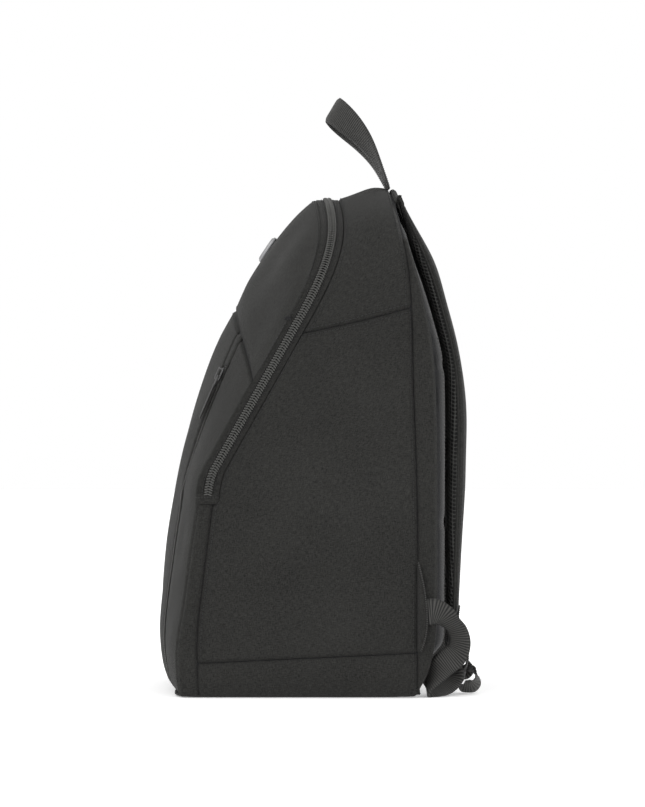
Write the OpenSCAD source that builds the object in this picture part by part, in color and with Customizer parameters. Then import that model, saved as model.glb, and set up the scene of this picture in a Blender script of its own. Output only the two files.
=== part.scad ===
// Backpack for a pair of ice skates: a domed front flap on a clamshell zip, a front pocket
// with a zip down each side, a padded back, shoulder straps and a haul handle.
// Millimetres, +Z up, +Y towards the back panel, +X the wearer's right.
// The origin is the centre of the base's underside.

/* [Body] */
// Width of the bag at its base
base_width = 320; // [290:5:350]
// Width where the sides begin to curve in to the top
shoulder_width = 300; // [270:5:320]
// Height where the sides begin to curve in
shoulder_height = 330; // [325:1:340]
// Height of the ridge at the back of the top
ridge_height = 449; // [440:1:460]
// Height of the top where the zip crosses it
zip_top_height = 440; // [434:1:446]
// Squareness of the top corners: 2 is a round arch
corner_power = 2.4; // [2:0.1:3.2]
// Fullness of the front: higher is flatter in the middle
front_power = 2.8; // [2.2:0.1:3.6]
// Thickness of a sewn panel
panel_thickness = 2.4; // [1.6:0.1:3]
// Gap left at each seam
seam_gap = 0.5; // [0.3:0.1:1]

/* [Front pocket] */
// Half the distance between the two pocket zips
pocket_zip_x = 100; // [90:1:108]
// Half the width of a pocket zip's tape
pocket_tape_half = 5.5; // [5:0.5:7]
// Height of the pocket zips' top ends
pocket_zip_top = 289; // [285:1:292]
// Height of the pocket's top seam at the middle of the front
pocket_seam_mid = 341; // [330:1:350]
// How far that seam drops towards the sides
pocket_seam_drop = 67; // [60:1:70]

/* [Zips] */
// Half the width of the main zip's tape, as it shows
main_tape_half = 9.5; // [8.5:0.5:11]
// Gap between the two rows of a zip's coil, where the slider's web runs
coil_gap = 1.2; // [1.1:0.1:1.4]
// Width of one row of the main zip's coil
coil_row = 2.6; // [2:0.2:3]
// Length of a pull tab
pull_length = 37; // [30:1:40]
// Width of a pull tab
pull_width = 9; // [8:0.5:10]

/* [Handle and straps] */
// Width of the webbing
webbing_width = 25; // [20:1:25]
// Thickness of the webbing
webbing_thickness = 1.8; // [1.4:0.1:2.2]
// Half the distance between the ends of the haul handle
handle_half = 38; // [32:1:44]
// Length of the handle from its ends to its top
handle_reach = 87; // [80:1:96]
// Width of a shoulder strap at its widest
strap_width = 66; // [56:1:72]

/* [Hidden] */
$fn = 32;
base_half = base_width / 2;
shoulder_half = shoulder_width / 2;
base_thickness = 3;
wall_foot = 3.6;            // the walls start here, just above the base panel
fold_z = 174;               // the front folds here when the flap opens
fold_gap = 0.6;
zip_foot = 170;             // the main zip's stitched ends
zip_start = 176;
dome_top = zip_top_height - 2;
webbing_x = 153;

// Side-view outlines, front to back, as [height, y, slope].
front_line = [[0, -113, -0.5], [30, -122.5, -0.2], [62, -125.5, 0.03], [125, -118.3, 0.13],
    [212, -103.6, 0.21], [299, -78.3, 0.37], [364, -46, 0.6], [408, -17.7, 0.78], [440, 13, 1.15]];
pocket_edge = [[0, -106, -0.1], [34, -108, 0], [86, -101, 0.13], [151, -92, 0.16], [175, -88.5, 0.12]];
strip_edge = [[0, -88.5, -0.05], [44, -90, 0], [104, -84.5, 0.12], [170, -76, 0.13]];
zip_line = [[168, -82, 0.2], [200, -74.3, 0.563], [322, -5.6, 0.563], [400, 26.8, 0.14], [440, 23, -0.3]];
rear_seam = [[0, 101, 0.02], [120, 102, 0], [258, 98.6, -0.04], [358, 95.5, -0.08], [449, 76, -0.25]];
back_line = [[0, 96, 1.8], [12, 106, 0.6], [32, 113.8, 0.22], [70, 118.3, 0.03], [140, 118.6, 0], [279, 117, -0.05], [323, 112, -0.2],
    [376, 99, -0.33], [449, 79, -0.25]];
strap_outer = [[66, 138.5, 0.03], [129, 141, 0.07], [225, 145.5, 0.02], [277, 143.5, -0.12],
    [340, 130.5, -0.27], [386, 116, -0.46], [431, 92, -0.5]];
strap_inner = [[66, 128, 0], [279, 128, -0.02], [336, 116.5, -0.28], [376, 103.8, -0.36], [431, 88.2, -0.25]];
strap_centre = [[66, 104, 0], [250, 96, -0.08], [380, 72, -0.26], [431, 62, -0.1]];
strap_half = [[66, 17, 0.6], [98, strap_width / 2, 0.05], [300, strap_width / 2, 0], [431, 27, -0.1]];
strap_ease = 3;             // how far the strap's edges fall back from its crown

function lerp(a, b, f) = a + (b - a) * f;
function unit(v) = v / norm(v);
// Cubic through the points of a line, keeping each point's slope.
function span(line, z, i = 0) = i >= len(line) - 2 || z < line[i + 1][0] ? i : span(line, z, i + 1);
function cubic(y0, y1, m0, m1, f) =
    y0 * (2 * f * f * f - 3 * f * f + 1) + m0 * (f * f * f - 2 * f * f + f)
    + y1 * (3 * f * f - 2 * f * f * f) + m1 * (f * f * f - f * f);
function at(line, z) =
    let (i = span(line, z), a = line[i], b = line[i + 1], h = b[0] - a[0])
    let (f = max(0, min(1, (z - a[0]) / h)))
    cubic(a[1], b[1], a[2] * h, b[2] * h, f);

// Half-width of the bag at a height: straight sides, then a superellipse corner.
function half_width(z, top) =
    z <= shoulder_height
        ? lerp(base_half, shoulder_half, z / shoulder_height)
        : shoulder_half * pow(max(0, 1 - pow((z - shoulder_height) / (top - shoulder_height),
            corner_power)), 1 / corner_power);

// Half-width left inside a wall whose inner face is set in by d from a side and a top of the given height.
function inner_half(z, top, d) =
    z <= shoulder_height
        ? half_width(z, top) - d
        : (shoulder_half - d) * pow(max(0, 1 - pow((z - shoulder_height) / (top - d - shoulder_height),
            corner_power)), 1 / corner_power);

// Height of the top at a depth: level at the zip, rising to the ridge behind it.
function top_height(y) =
    let (f = max(0, min(1, (y - 34) / 34)))
    lerp(zip_top_height, ridge_height, f * f * (3 - 2 * f));

// Point on the side and top, set in by d: s is 0 at the right base, 1 at the apex, 2 at the left base.
straight_share = 0.6;
function side_point(s, y, d) =
    s > 1 ? let (p = side_point(2 - s, y, d)) [-p[0], p[1], p[2]] :
    s <= straight_share
        ? let (z = shoulder_height * s / straight_share) [half_width(z, 450) - d, y, z]
        : let (q = 90 * (s - straight_share) / (1 - straight_share), e = 2 / corner_power)
          [(shoulder_half - d) * pow(cos(q), e), y,
            shoulder_height + (top_height(y) - d - shoulder_height) * pow(sin(q), e)];
function nominal_z(s) = side_point(min(s, 2 - s), 40, 0)[2];
function share_of(z) = z <= shoulder_height
    ? straight_share * z / shoulder_height
    : lerp(straight_share, 1, asin(pow((z - shoulder_height) / (zip_top_height - shoulder_height),
        corner_power / 2)) / 90);

// Front surface: y at a height and at a fraction r of the half-width.
function edge_y(z) = z < 175 ? at(pocket_edge, z) : at(zip_line, z) - main_tape_half;
function front_y(r, z) = lerp(at(front_line, z), edge_y(z), pow(abs(r), front_power));
function front_x(r, z) = r * inner_half(z, zip_top_height, panel_thickness + seam_gap);
function pocket_seam(r) = pocket_seam_mid - pocket_seam_drop * pow(abs(r), 2.5);
function r_of(x, z) = x / front_x(1, z);

// Closed solid between two grids of points, outer and inner.
module sheet(outer, inner) {
    nu = len(outer);
    nv = len(outer[0]);
    function o(i, j) = i * nv + j;
    function n(i, j) = nu * nv + i * nv + j;
    function quad(a, b, c, d) = [[a, b, c], [a, c, d]];
    faces = concat(
        [for (i = [0:nu - 2], j = [0:nv - 2]) each quad(o(i, j), o(i + 1, j), o(i + 1, j + 1), o(i, j + 1))],
        [for (i = [0:nu - 2], j = [0:nv - 2]) each quad(n(i, j), n(i, j + 1), n(i + 1, j + 1), n(i + 1, j))],
        [for (j = [0:nv - 2]) each quad(o(0, j), o(0, j + 1), n(0, j + 1), n(0, j))],
        [for (j = [0:nv - 2]) each quad(o(nu - 1, j + 1), o(nu - 1, j), n(nu - 1, j), n(nu - 1, j + 1))],
        [for (i = [0:nu - 2]) each quad(o(i + 1, 0), o(i, 0), n(i, 0), n(i + 1, 0))],
        [for (i = [0:nu - 2]) each quad(o(i, nv - 1), o(i + 1, nv - 1), n(i + 1, nv - 1), n(i, nv - 1))]);
    polyhedron([for (row = outer) each row, for (row = inner) each row], faces);
}

// Sheet on the side: front and rear are functions of height, foot and head of the depth fraction.
module side_sheet(foot, head, front, rear, rows, cols, d0 = 0, d1 = panel_thickness) {
    function z_at(g, f) = lerp(foot(f), head(f), g);
    function grid(d) = [for (i = [0:rows]) [for (j = [0:cols])
        let (g = i / rows, f = j / cols, z = z_at(g, f))
        side_point(share_of(z), lerp(front(z), rear(z), f), d)]];
    sheet(grid(d0), grid(d1));
}

// Strip that runs up one side, over the top and down the other, between two depth lines.
module over_strip(foot, front, rear, rows, cols, d0 = 0, d1 = panel_thickness) {
    function grid(d) = [for (i = [0:rows]) [for (j = [0:cols])
        let (f = j / cols, s0 = share_of(foot(f)), s = lerp(s0, 2 - s0, i / rows), z = nominal_z(s))
        side_point(s, lerp(front(z), rear(z), f), d)]];
    sheet(grid(d0), grid(d1));
}

// Sheet on the front between two fractions of the width; foot and head are functions of the fraction.
module front_sheet(left, right, foot, head, rows, cols, d0 = 0, d1 = panel_thickness) {
    function grid(d) = [for (i = [0:rows]) [for (j = [0:cols])
        let (f = j / cols, g = i / rows, z0 = lerp(foot(lerp(left(200), right(200), f)),
            head(lerp(left(200), right(200), f)), g))
        let (r = lerp(left(z0), right(z0), f))
        [front_x(r, z0), front_y(r, z0) + d, z0]]];
    sheet(grid(d0), grid(d1));
}

// Flat band along a list of [point, width direction], w wide and t thick.
module band(stations, w, t) {
    last = len(stations) - 1;
    function way(i) = unit(stations[min(i + 1, last)][0] - stations[max(i - 1, 0)][0]);
    function thick(i) = unit(cross(way(i), stations[i][1]));
    function row(i, side) = [for (k = [-1, 1])
        stations[i][0] + unit(stations[i][1]) * k * w / 2 + thick(i) * side * t / 2];
    sheet([for (i = [0:last]) row(i, 1)], [for (i = [0:last]) row(i, -1)]);
}

module plate(x, y0, y1, z0, z1, r) {
    translate([-x, y0 + r, z0]) cube([2 * x, y1 - y0 - 2 * r, z1 - z0]);
    translate([r - x, y0, z0]) cube([2 * (x - r), y1 - y0, z1 - z0]);
    for (i = [-1, 1], y = [y0 + r, y1 - r])
        translate([i * (x - r), y, z0]) cylinder(r = r, h = z1 - z0);
}

module left() { mirror([1, 0, 0]) children(); }

// Places a child whose X runs along way and whose Z points along out.
module set_on(point, way, out) {
    x = unit(way);
    y = unit(cross(out, x));
    z = cross(x, y);
    multmatrix([[x[0], y[0], z[0], point[0]], [x[1], y[1], z[1], point[1]],
        [x[2], y[2], z[2], point[2]], [0, 0, 0, 1]]) children();
}

fabric = [0.2, 0.2, 0.21];
webbing = [0.12, 0.12, 0.13];
black = [0.1, 0.1, 0.1];
metal = [0.3, 0.3, 0.31];

// ---- Bag body ----

// Side panel, from the strip and the zip back to the rear seam.
band_head = function (f) lerp(30, 39, f);
yoke_foot = function (f) lerp(317, 339, f);
module side_panel_right() {
    color(fabric) side_sheet(function (f) band_head(f) + seam_gap / 2, function (f) yoke_foot(f) - seam_gap / 2,
        function (z) (z < 170 ? at(strip_edge, z) : at(zip_line, z) + main_tape_half) + seam_gap,
        function (z) at(rear_seam, z) - seam_gap, 14, 4);
}
module side_panel_left() { left() side_panel_right(); }

// Yoke: upper sides and top in one piece.
module top_yoke() {
    color(fabric) over_strip(function (f) yoke_foot(f) + seam_gap / 2,
        function (z) at(zip_line, z) + main_tape_half + seam_gap,
        function (z) at(rear_seam, z) - seam_gap, 38, 4);
}

// Band at the foot of the side.
module base_band_right() {
    color(fabric) side_sheet(function (f) wall_foot, function (f) band_head(f) - seam_gap / 2,
        function (z) at(strip_edge, z) + seam_gap, function (z) at(rear_seam, z) - seam_gap, 2, 4);
}
module base_band_left() { left() base_band_right(); }

module base_panel() { color(fabric) plate(156, -110, 99, 0, base_thickness, 22); }

// Gusset between the rear seam and the back panel.
module back_gusset_right() {
    color(fabric) side_sheet(function (f) wall_foot, function (f) 392,
        function (z) at(rear_seam, z) + seam_gap, function (z) max(at(back_line, z), at(rear_seam, z) + 2), 16, 2);
}
module back_gusset_left() { left() back_gusset_right(); }

// Back: crowned panel, foam and frame sheet, one behind the other.
module back_sheet(front_d, rear_d, inset, crown) {
    function grid(d, c) = [for (i = [0:20]) let (z = lerp(wall_foot + inset, 442 - inset, pow(i / 20, 1.5)))
        let (x = inner_half(z, ridge_height, panel_thickness + 2 * seam_gap) - inset)
        [for (j = [0:6]) let (r = 1 - j / 3)
            [r * x, at(back_line, z) + d + c * (1 - r * r), z]]];
    sheet(grid(rear_d, crown), grid(front_d, crown));
}
module back_panel() { color(black) back_sheet(-4, 0, 0, 2.5); }
module back_foam() { color("dimgray") back_sheet(-10, -4.9, 14, 2.5); }
module back_board() { color("gray") back_sheet(-12.2, -10.8, 16, 2.5); }

module base_board() { color("gray") plate(138, -78, 88, base_thickness + 0.6, base_thickness + 3, 14); }

// Strip between the front pocket and the side panel.
module front_strip_right() {
    color(fabric) side_sheet(function (f) wall_foot, function (f) zip_foot - seam_gap,
        function (z) at(pocket_edge, z), function (z) at(strip_edge, z) - seam_gap, 9, 2);
}
module front_strip_left() { left() front_strip_right(); }

// Stitched patch over each end of the main zip.
module zip_end_patches() {
    for (i = [0, 1]) mirror([i, 0, 0])
        color(fabric) side_sheet(function (f) zip_foot, function (f) zip_start - fold_gap,
            function (z) -88, function (z) -74.5, 1, 2);
}

// Lower front: what stays still when the flap folds down.
inner_r = function (z) r_of(pocket_zip_x - pocket_tape_half - seam_gap, z);
outer_r = function (z) r_of(pocket_zip_x + pocket_tape_half + seam_gap, z);
lower_foot = function (r) wall_foot;
lower_head = function (r) fold_z - fold_gap;
module pocket_panel_lower() {
    color(fabric) front_sheet(function (z) -inner_r(z), inner_r, lower_foot, lower_head, 8, 8);
}
module pocket_side_lower_right() {
    color(fabric) front_sheet(outer_r, function (z) 1, lower_foot, lower_head, 8, 3);
}
module pocket_side_lower_left() { left() pocket_side_lower_right(); }

// Wall between the lower pocket and the main compartment.
module pocket_divider() {
    function grid(d) = [for (i = [0:6]) let (z = lerp(7, fold_z - 2, i / 6))
        [for (j = [0:4]) let (r = j / 2 - 1) [r * (half_width(z, 450) - 5), edge_y(z) + 7 + d, z]]];
    color("dimgray") sheet(grid(0), grid(1));
}

// ---- Main zip ----

zip_front = function (z) at(zip_line, z) - main_tape_half;
zip_rear = function (z) at(zip_line, z) + main_tape_half;
zip_ends = function (f) zip_start;
module bag_zip_tape() {
    color(black) over_strip(zip_ends, function (z) at(zip_line, z) + coil_gap / 2, zip_rear, 44, 1, 0.6, 1.8);
}
module bag_zip_coil() {
    color(black) over_strip(zip_ends, function (z) at(zip_line, z) + coil_gap / 2,
        function (z) at(zip_line, z) + coil_gap / 2 + coil_row, 44, 1, -0.8, 0.5);
}
module flap_zip_tape() {
    color(black) over_strip(zip_ends, function (z) zip_front(z) + seam_gap,
        function (z) at(zip_line, z) - coil_gap / 2, 44, 1, 0.6, 1.8);
}
module flap_zip_coil() {
    color(black) over_strip(zip_ends, function (z) at(zip_line, z) - coil_gap / 2 - coil_row,
        function (z) at(zip_line, z) - coil_gap / 2, 44, 1, -0.8, 0.5);
}

// ---- Front flap ----

flap_foot = function (r) fold_z + fold_gap;
module upper_front_panel() {
    color(fabric) front_sheet(function (z) -1, function (z) 1, function (r) pocket_seam(r) + 2 * seam_gap,
        function (r) dome_top - 2, 11, 20);
}
module pocket_panel_upper() {
    color(fabric) front_sheet(function (z) -inner_r(z), inner_r, flap_foot,
        function (r) pocket_seam(r) - seam_gap, 8, 8);
}
module pocket_side_upper_right() {
    color(fabric) front_sheet(outer_r, function (z) 1, flap_foot, function (r) pocket_seam(r) - 2 * seam_gap, 7, 4);
}
module pocket_side_upper_left() { left() pocket_side_upper_right(); }
module flap_lining() {
    function grid(d) = [for (i = [0:8]) let (z = lerp(fold_z + 3, 330, i / 8))
        [for (j = [0:4]) let (r = j / 2 - 1)
            [r * (front_x(1, z) - 6), lerp(at(front_line, z), edge_y(z), 0.75 + 0.25 * r * r) + 5 + d, z]]];
    color("dimgray") sheet(grid(0), grid(1));
}
module badge_plate() {
    z = 395;
    slope = (at(front_line, z + 5) - at(front_line, z - 5)) / 10;
    color("silver") set_on([0, at(front_line, z) - 0.3, z], [0, slope, 1], [0, -1, slope])
        linear_extrude(1.6) union() {
            square([22, 14], center = true);
            for (i = [-1, 1], j = [-1, 1]) translate([i * 11, j * 5]) circle(r = 2);
            square([26, 10], center = true);
        }
}

// ---- Pocket zips: each follows an arc in its own upright plane ----

pocket_arc_centre = [696.9, -44.8];      // y and z
pocket_arc_radius = 832;
function pocket_zip_y(z) = pocket_arc_centre[0]
    - sqrt(pow(pocket_arc_radius, 2) - pow(z - pocket_arc_centre[1], 2));
module pocket_row(x0, x1, z0, z1, y_of, d0, d1) {
    rows = 10;
    function grid(d) = [for (i = [0:rows]) let (z = lerp(z0, z1, i / rows))
        [for (x = [x0, x1]) [x, y_of(z) + d, z]]];
    sheet(grid(d0), grid(d1));
}
module pocket_zip(z0, z1, y_of) {
    for (k = [-1, 1]) {
        near = pocket_zip_x + k * coil_gap / 2;
        far = pocket_zip_x + k * pocket_tape_half;
        row = pocket_zip_x + k * (coil_gap / 2 + 1.8);
        color(black) pocket_row(min(near, far), max(near, far), z0, z1, y_of, 0.6, 1.8);
        color(black) pocket_row(min(near, row), max(near, row), z0, z1, y_of, -0.6, 0.5);
    }
}
module pocket_zip_right() { pocket_zip(fold_z + fold_gap, pocket_zip_top, function (z) pocket_zip_y(z)); }
module pocket_zip_left() { left() pocket_zip_right(); }
module pocket_zip_lower_right() {
    pocket_zip(30, fold_z - fold_gap, function (z) front_y(r_of(pocket_zip_x, z), z));
}
module pocket_zip_lower_left() { left() pocket_zip_lower_right(); }

// ---- Sliders and pull tabs: X runs along the zip, Z out of the bag ----

slider_length = 13;
pull_pin = [-2.6, 4.1];      // along and out
module slider(width) {
    web = 0.5;
    color(metal) {
        for (z = [1.4, -3.4]) translate([-slider_length / 2, -width / 2, z]) cube([slider_length, width, 1]);
        translate([1.5, -web / 2, -3]) cube([slider_length / 2 - 1.5, web, 5]);
        for (x = [-5.6, 4]) translate([x, -1.1, 2.3]) cube([1.2, 2.2, 3.6]);
        translate([-5.6, -1.1, 5.4]) cube([10.8, 2.2, 0.9]);
    }
}
module puller(width) {
    color(metal) {
        translate([pull_pin[0], 0, pull_pin[1]]) rotate([90, 0, 0]) cylinder(r = 0.8, h = 6.4, center = true);
        for (y = [-3.2, 2]) translate([pull_pin[0] - 9, y, pull_pin[1] - 0.7]) cube([9, 1.2, 1.4]);
    }
    color(black) translate([pull_pin[0] - pull_length, 0, pull_pin[1]]) {
        translate([0, -width / 2, -0.9]) cube([pull_length - 8.5, width, 1.8]);
        cylinder(r = width / 2, h = 1.8, center = true);
    }
}

// The main zip's slider stands near the foot of the straight stretch on the left side.
function zip_point(z) = [-half_width(z, 450), at(zip_line, z), z];
zip_way = zip_point(320) - zip_point(202);
zip_out = [-1, 0, (base_half - shoulder_half) / shoulder_height];
main_slider_z = 209;
module on_main_zip() { set_on(zip_point(main_slider_z), zip_way, zip_out) children(); }
module main_slider() { on_main_zip() slider(10); }
module main_puller() { on_main_zip() puller(pull_width); }

pocket_slider_z = 281;
module on_pocket_zip() {
    y = pocket_zip_y(pocket_slider_z);
    out = [0, y - pocket_arc_centre[0], pocket_slider_z - pocket_arc_centre[1]];
    set_on([pocket_zip_x, y, pocket_slider_z], [0, -out[2], out[1]] * -1, out) children();
}
module pocket_slider_right() { on_pocket_zip() slider(8); }
module pocket_slider_left() { left() pocket_slider_right(); }
module pocket_puller_right() { on_pocket_zip() puller(pull_width); }
module pocket_puller_left() { left() pocket_puller_right(); }

// ---- Haul handle ----

handle_foot = [0, 78, 450.5];
handle_lean = [0, -0.575, 0.818];
handle_apex_width = [0, 0.51, 0.86];
handle_bow = [0, 5, 3.5];      // how far the legs bow back at half height
module haul_handle() {
    stations = [for (i = [0:20]) let (a = 9 * i, rise = pow(sin(a), 0.62))
        let (turn = pow(rise, 1.25), x = handle_half * (i < 10 ? 1 : -1) * pow(abs(cos(a)), 0.8))
        [handle_foot + [x, 0, 0] + handle_lean * handle_reach * rise + handle_bow * sin(180 * rise),
            unit([cos(90 * turn), 0, 0] + handle_apex_width * sin(90 * turn))]];
    color(webbing) band(stations, webbing_width, webbing_thickness);
}

// Reinforcement along the top of the back, where the handle and the straps are sewn in.
module strap_yoke() {
    color(fabric) over_strip(function (f) 430, function (z) at(rear_seam, z) + seam_gap,
        function (z) at(rear_seam, z) + 5, 16, 1);
}

// ---- Shoulder straps ----

module strap_layer(outer_y, inner_y, outer_ease, inner_ease) {
    function grid(line_y, ease) = [for (i = [0:16]) let (z = lerp(68, 430, i / 16))
        [for (j = [0:4]) let (r = 1 - j / 2)
            [at(strap_centre, z) + r * at(strap_half, z), line_y(z) - ease * r * r * min(1, (431 - z) / 60), z]]];
    sheet(grid(outer_y, outer_ease), grid(inner_y, inner_ease));
}
strap_mid = function (z) lerp(at(strap_inner, z), at(strap_outer, z), 0.5);
module strap_pad_right() {
    color(fabric) strap_layer(function (z) at(strap_outer, z), strap_mid, strap_ease, 0);
}
module strap_pad_left() { left() strap_pad_right(); }
module strap_mesh_right() {
    color(black) strap_layer(function (z) strap_mid(z) - 0.3, function (z) at(strap_inner, z), 0, -strap_ease / 2);
}
module strap_mesh_left() { left() strap_mesh_right(); }

// Webbing between the strap's end and the buckle, and the loose tail below it.
strap_end_x = 104;
module strap_tail_right() {
    across = [1, 0, 0];
    color(webbing) band([[[strap_end_x, 133, 67.5], across], [[strap_end_x, 133.5, 60], across]],
        webbing_width, webbing_thickness);
    tail = [[146.5, 40], [146.8, 30], [143.5, 20], [139.8, 11], [140, 4.5], [144, 1.8], [150, 1.8], [155.6, 5.6],
        [157.4, 12], [155.6, 19.5], [151, 24]];
    color(webbing) band([for (p = tail) [[strap_end_x, p[0], p[1]], across]], webbing_width, webbing_thickness);
}
module strap_tail_left() { left() strap_tail_right(); }

// Ladder-lock buckle: two side rails and three bars.
buckle_z = 58;
buckle_y = 135;
module buckle_right() {
    rail = 3;
    drop = 24;
    color(black) translate([strap_end_x, buckle_y, buckle_z]) {
        for (k = [-1, 1]) translate([k * (webbing_width / 2 + 2.5) - rail / 2, 0, -drop]) cube([rail, 4, drop]);
        for (z = [-1.5, -drop / 2, 1.5 - drop]) translate([0, 2, z]) rotate([0, 90, 0])
            cylinder(r = 1.5, h = webbing_width + 5, center = true);
    }
}
module buckle_left() { left() buckle_right(); }

// ---- Lower webbing and wing tabs ----

module wing_tab_right() {
    color(fabric) translate([160.8, 0, 0]) rotate([90, 0, 90]) linear_extrude(2)
        polygon([[100.5, 119], [108, 92], [109.4, 62], [103.5, 43]]);
}
module wing_tab_left() { left() wing_tab_right(); }

// Webbing sewn to the wing tab: out and round, down to the floor, and back up towards the buckle.
lower_width = 22;
lower_route = [[[161.8, 110.8, 75], [0, 0.04, 1]], [[162.4, 116.6, 75.1], [0.12, 0.22, 0.95]],
    [[162.4, 124.4, 71.8], [0.5, 0.42, 0.76]], [[160.4, 130.5, 65.9], [0.7, 0.6, 0.4]],
    [[158.5, 135.8, 59.5], [0.66, 0.73, 0.19]], [[157, 138.5, 50.2], [0.61, 0.79, -0.08]],
    [[155.5, 137, 41.2], [0.5, 0.72, -0.47]], [[154.5, 132.6, 35.2], [0.3, 0.71, -0.65]],
    [[153, 124.6, 27.6], [0.35, 0.62, -0.68]], [[150.5, 118.8, 17.6], [0.72, 0.4, -0.52]],
    [[147.5, 115, 8.4], [0.93, 0.16, -0.3]], [[143.5, 117.5, 2.6], [1, 0.1, 0]],
    [[137, 124, 2.2], [1, 0.2, 0]], [[128, 131, 6], [1, 0.2, 0]], [[119, 135.6, 13], [1, 0.15, 0]],
    [[111, 138.2, 20], [1, 0.1, 0]], [[107, 139, 25.5], [1, 0, 0]]];
module lower_webbing_right() { color(webbing) band(lower_route, lower_width, webbing_thickness); }
module lower_webbing_left() { left() lower_webbing_right(); }

side_panel_right();
side_panel_left();
top_yoke();
base_band_right();
base_band_left();
base_panel();
back_gusset_right();
back_gusset_left();
back_panel();
back_foam();
back_board();
base_board();
front_strip_right();
front_strip_left();
zip_end_patches();
pocket_panel_lower();
pocket_side_lower_right();
pocket_side_lower_left();
pocket_divider();
bag_zip_tape();
bag_zip_coil();
flap_zip_tape();
flap_zip_coil();
upper_front_panel();
pocket_panel_upper();
pocket_side_upper_right();
pocket_side_upper_left();
flap_lining();
badge_plate();
pocket_zip_right();
pocket_zip_left();
pocket_zip_lower_right();
pocket_zip_lower_left();
main_slider();
main_puller();
pocket_slider_right();
pocket_slider_left();
pocket_puller_right();
pocket_puller_left();
haul_handle();
strap_yoke();
strap_pad_right();
strap_pad_left();
strap_mesh_right();
strap_mesh_left();
strap_tail_right();
strap_tail_left();
buckle_right();
buckle_left();
wing_tab_right();
wing_tab_left();
lower_webbing_right();
lower_webbing_left();
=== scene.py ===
"""Looks of a backpack-style ice skate bag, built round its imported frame.

Every outline is worked out in millimetres in the frame's own axes (+Z up, +Y towards the back
panel, +X the wearer's right) and becomes metres where a mesh is made.
"""

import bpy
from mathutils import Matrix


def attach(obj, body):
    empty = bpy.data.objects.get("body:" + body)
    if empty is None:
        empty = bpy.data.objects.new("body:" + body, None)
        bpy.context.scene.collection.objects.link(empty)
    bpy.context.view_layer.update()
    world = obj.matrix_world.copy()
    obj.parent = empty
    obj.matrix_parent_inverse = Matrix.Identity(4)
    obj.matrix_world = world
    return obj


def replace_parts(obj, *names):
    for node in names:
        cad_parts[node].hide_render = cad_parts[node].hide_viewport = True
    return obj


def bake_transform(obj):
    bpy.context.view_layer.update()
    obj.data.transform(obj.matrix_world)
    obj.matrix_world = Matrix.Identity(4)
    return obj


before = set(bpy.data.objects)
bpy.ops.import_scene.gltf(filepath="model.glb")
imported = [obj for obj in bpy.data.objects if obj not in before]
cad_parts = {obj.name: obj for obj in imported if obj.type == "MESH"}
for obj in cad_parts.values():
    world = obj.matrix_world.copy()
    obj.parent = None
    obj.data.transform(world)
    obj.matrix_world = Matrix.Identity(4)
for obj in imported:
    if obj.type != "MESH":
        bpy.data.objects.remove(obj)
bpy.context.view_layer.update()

import math

import bpy
import numpy as np

bl_info = {
    "name": "Skate Bag",
    "version": (1, 0, 0),
    "blender": (4, 5, 0),
    "location": "3D View > Sidebar > Skate Bag",
    "description": "Builds the sewn shell, zips, straps and trim of a skate bag round its frame",
    "category": "Add Mesh",
}

MM = 0.001
BODY, FLAP = "bag_body", "flap"
SIDES = (("right", 1.0), ("left", -1.0))

# ---- Driving sizes of the shell, in millimetres, as the frame has them ----

BASE_HALF, SHOULDER_HALF = 160.0, 150.0
SHOULDER_HEIGHT, RIDGE_HEIGHT, ZIP_TOP_HEIGHT = 330.0, 449.0, 440.0
CROWN_HEIGHT = 450.0
CORNER_POWER, FRONT_POWER = 2.4, 2.8
STRAIGHT_SHARE = 0.6
CLOTH_FOOT, TUCK, TUCK_HEIGHT = 1.0, 5.0, 12.0
FOLD_Z, FOLD_REACH = 174.0, 15.0
ZIP_FOOT, TAPE_HALF = 176.0, 9.5
POCKET_ZIP_X, POCKET_TAPE_HALF = 100.0, 5.5
POCKET_ARC_Y, POCKET_ARC_Z, POCKET_ARC_RADIUS = 696.9, -44.8, 832.0
POCKET_SEAM_MID, POCKET_SEAM_DROP = 341.0, 67.0
POCKET_HALF = SHOULDER_HALF + 0.5
MAIN_SLIDER_Z, POCKET_SLIDER_Z = 209.0, 281.0
STRAP_FOOT, STRAP_LENGTH = 64.0, 376.0
BUCKLE_X, WEBBING_WIDTH = 104.0, 25.0

# ---- Sewing sizes, in millimetres ----

CLOTH, SEAM_GAP = 1.8, 0.25
EDGE_REACH, EDGE_SHARES = 7.0, (0, 0.5, 1.1, 1.9, 3.0, 4.6)
FOLD_WAVES, FOLD_LENGTHS = 7, (45.0, 170.0)
CALM_EDGE, PUCKER_FADE = 30, 6
RIB_DEPTH, FLOOR_GAP = 0.24, 0.2
STITCH_RADIUS, STITCH_LIFT = 0.34, 0.1
# The grid lines beside a panel's first and last edges that its stitches follow.
FIRST_LINE, LAST_LINE = 4, -5


def cubic(points):
    """Function of height: a cubic through [height, value, slope] points that keeps each slope."""
    height, value, slope = np.array(points, float).T

    def at(h):
        h = np.asarray(h, float)
        i = np.clip(np.searchsorted(height, h, side="right") - 1, 0, len(height) - 2)
        step = height[i + 1] - height[i]
        f = np.clip((h - height[i]) / step, 0, 1)
        return (value[i] * (2 * f**3 - 3 * f**2 + 1) + slope[i] * step * (f**3 - 2 * f**2 + f)
                + value[i + 1] * (3 * f**2 - 2 * f**3) + slope[i + 1] * step * (f**3 - f**2))

    return at


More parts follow.
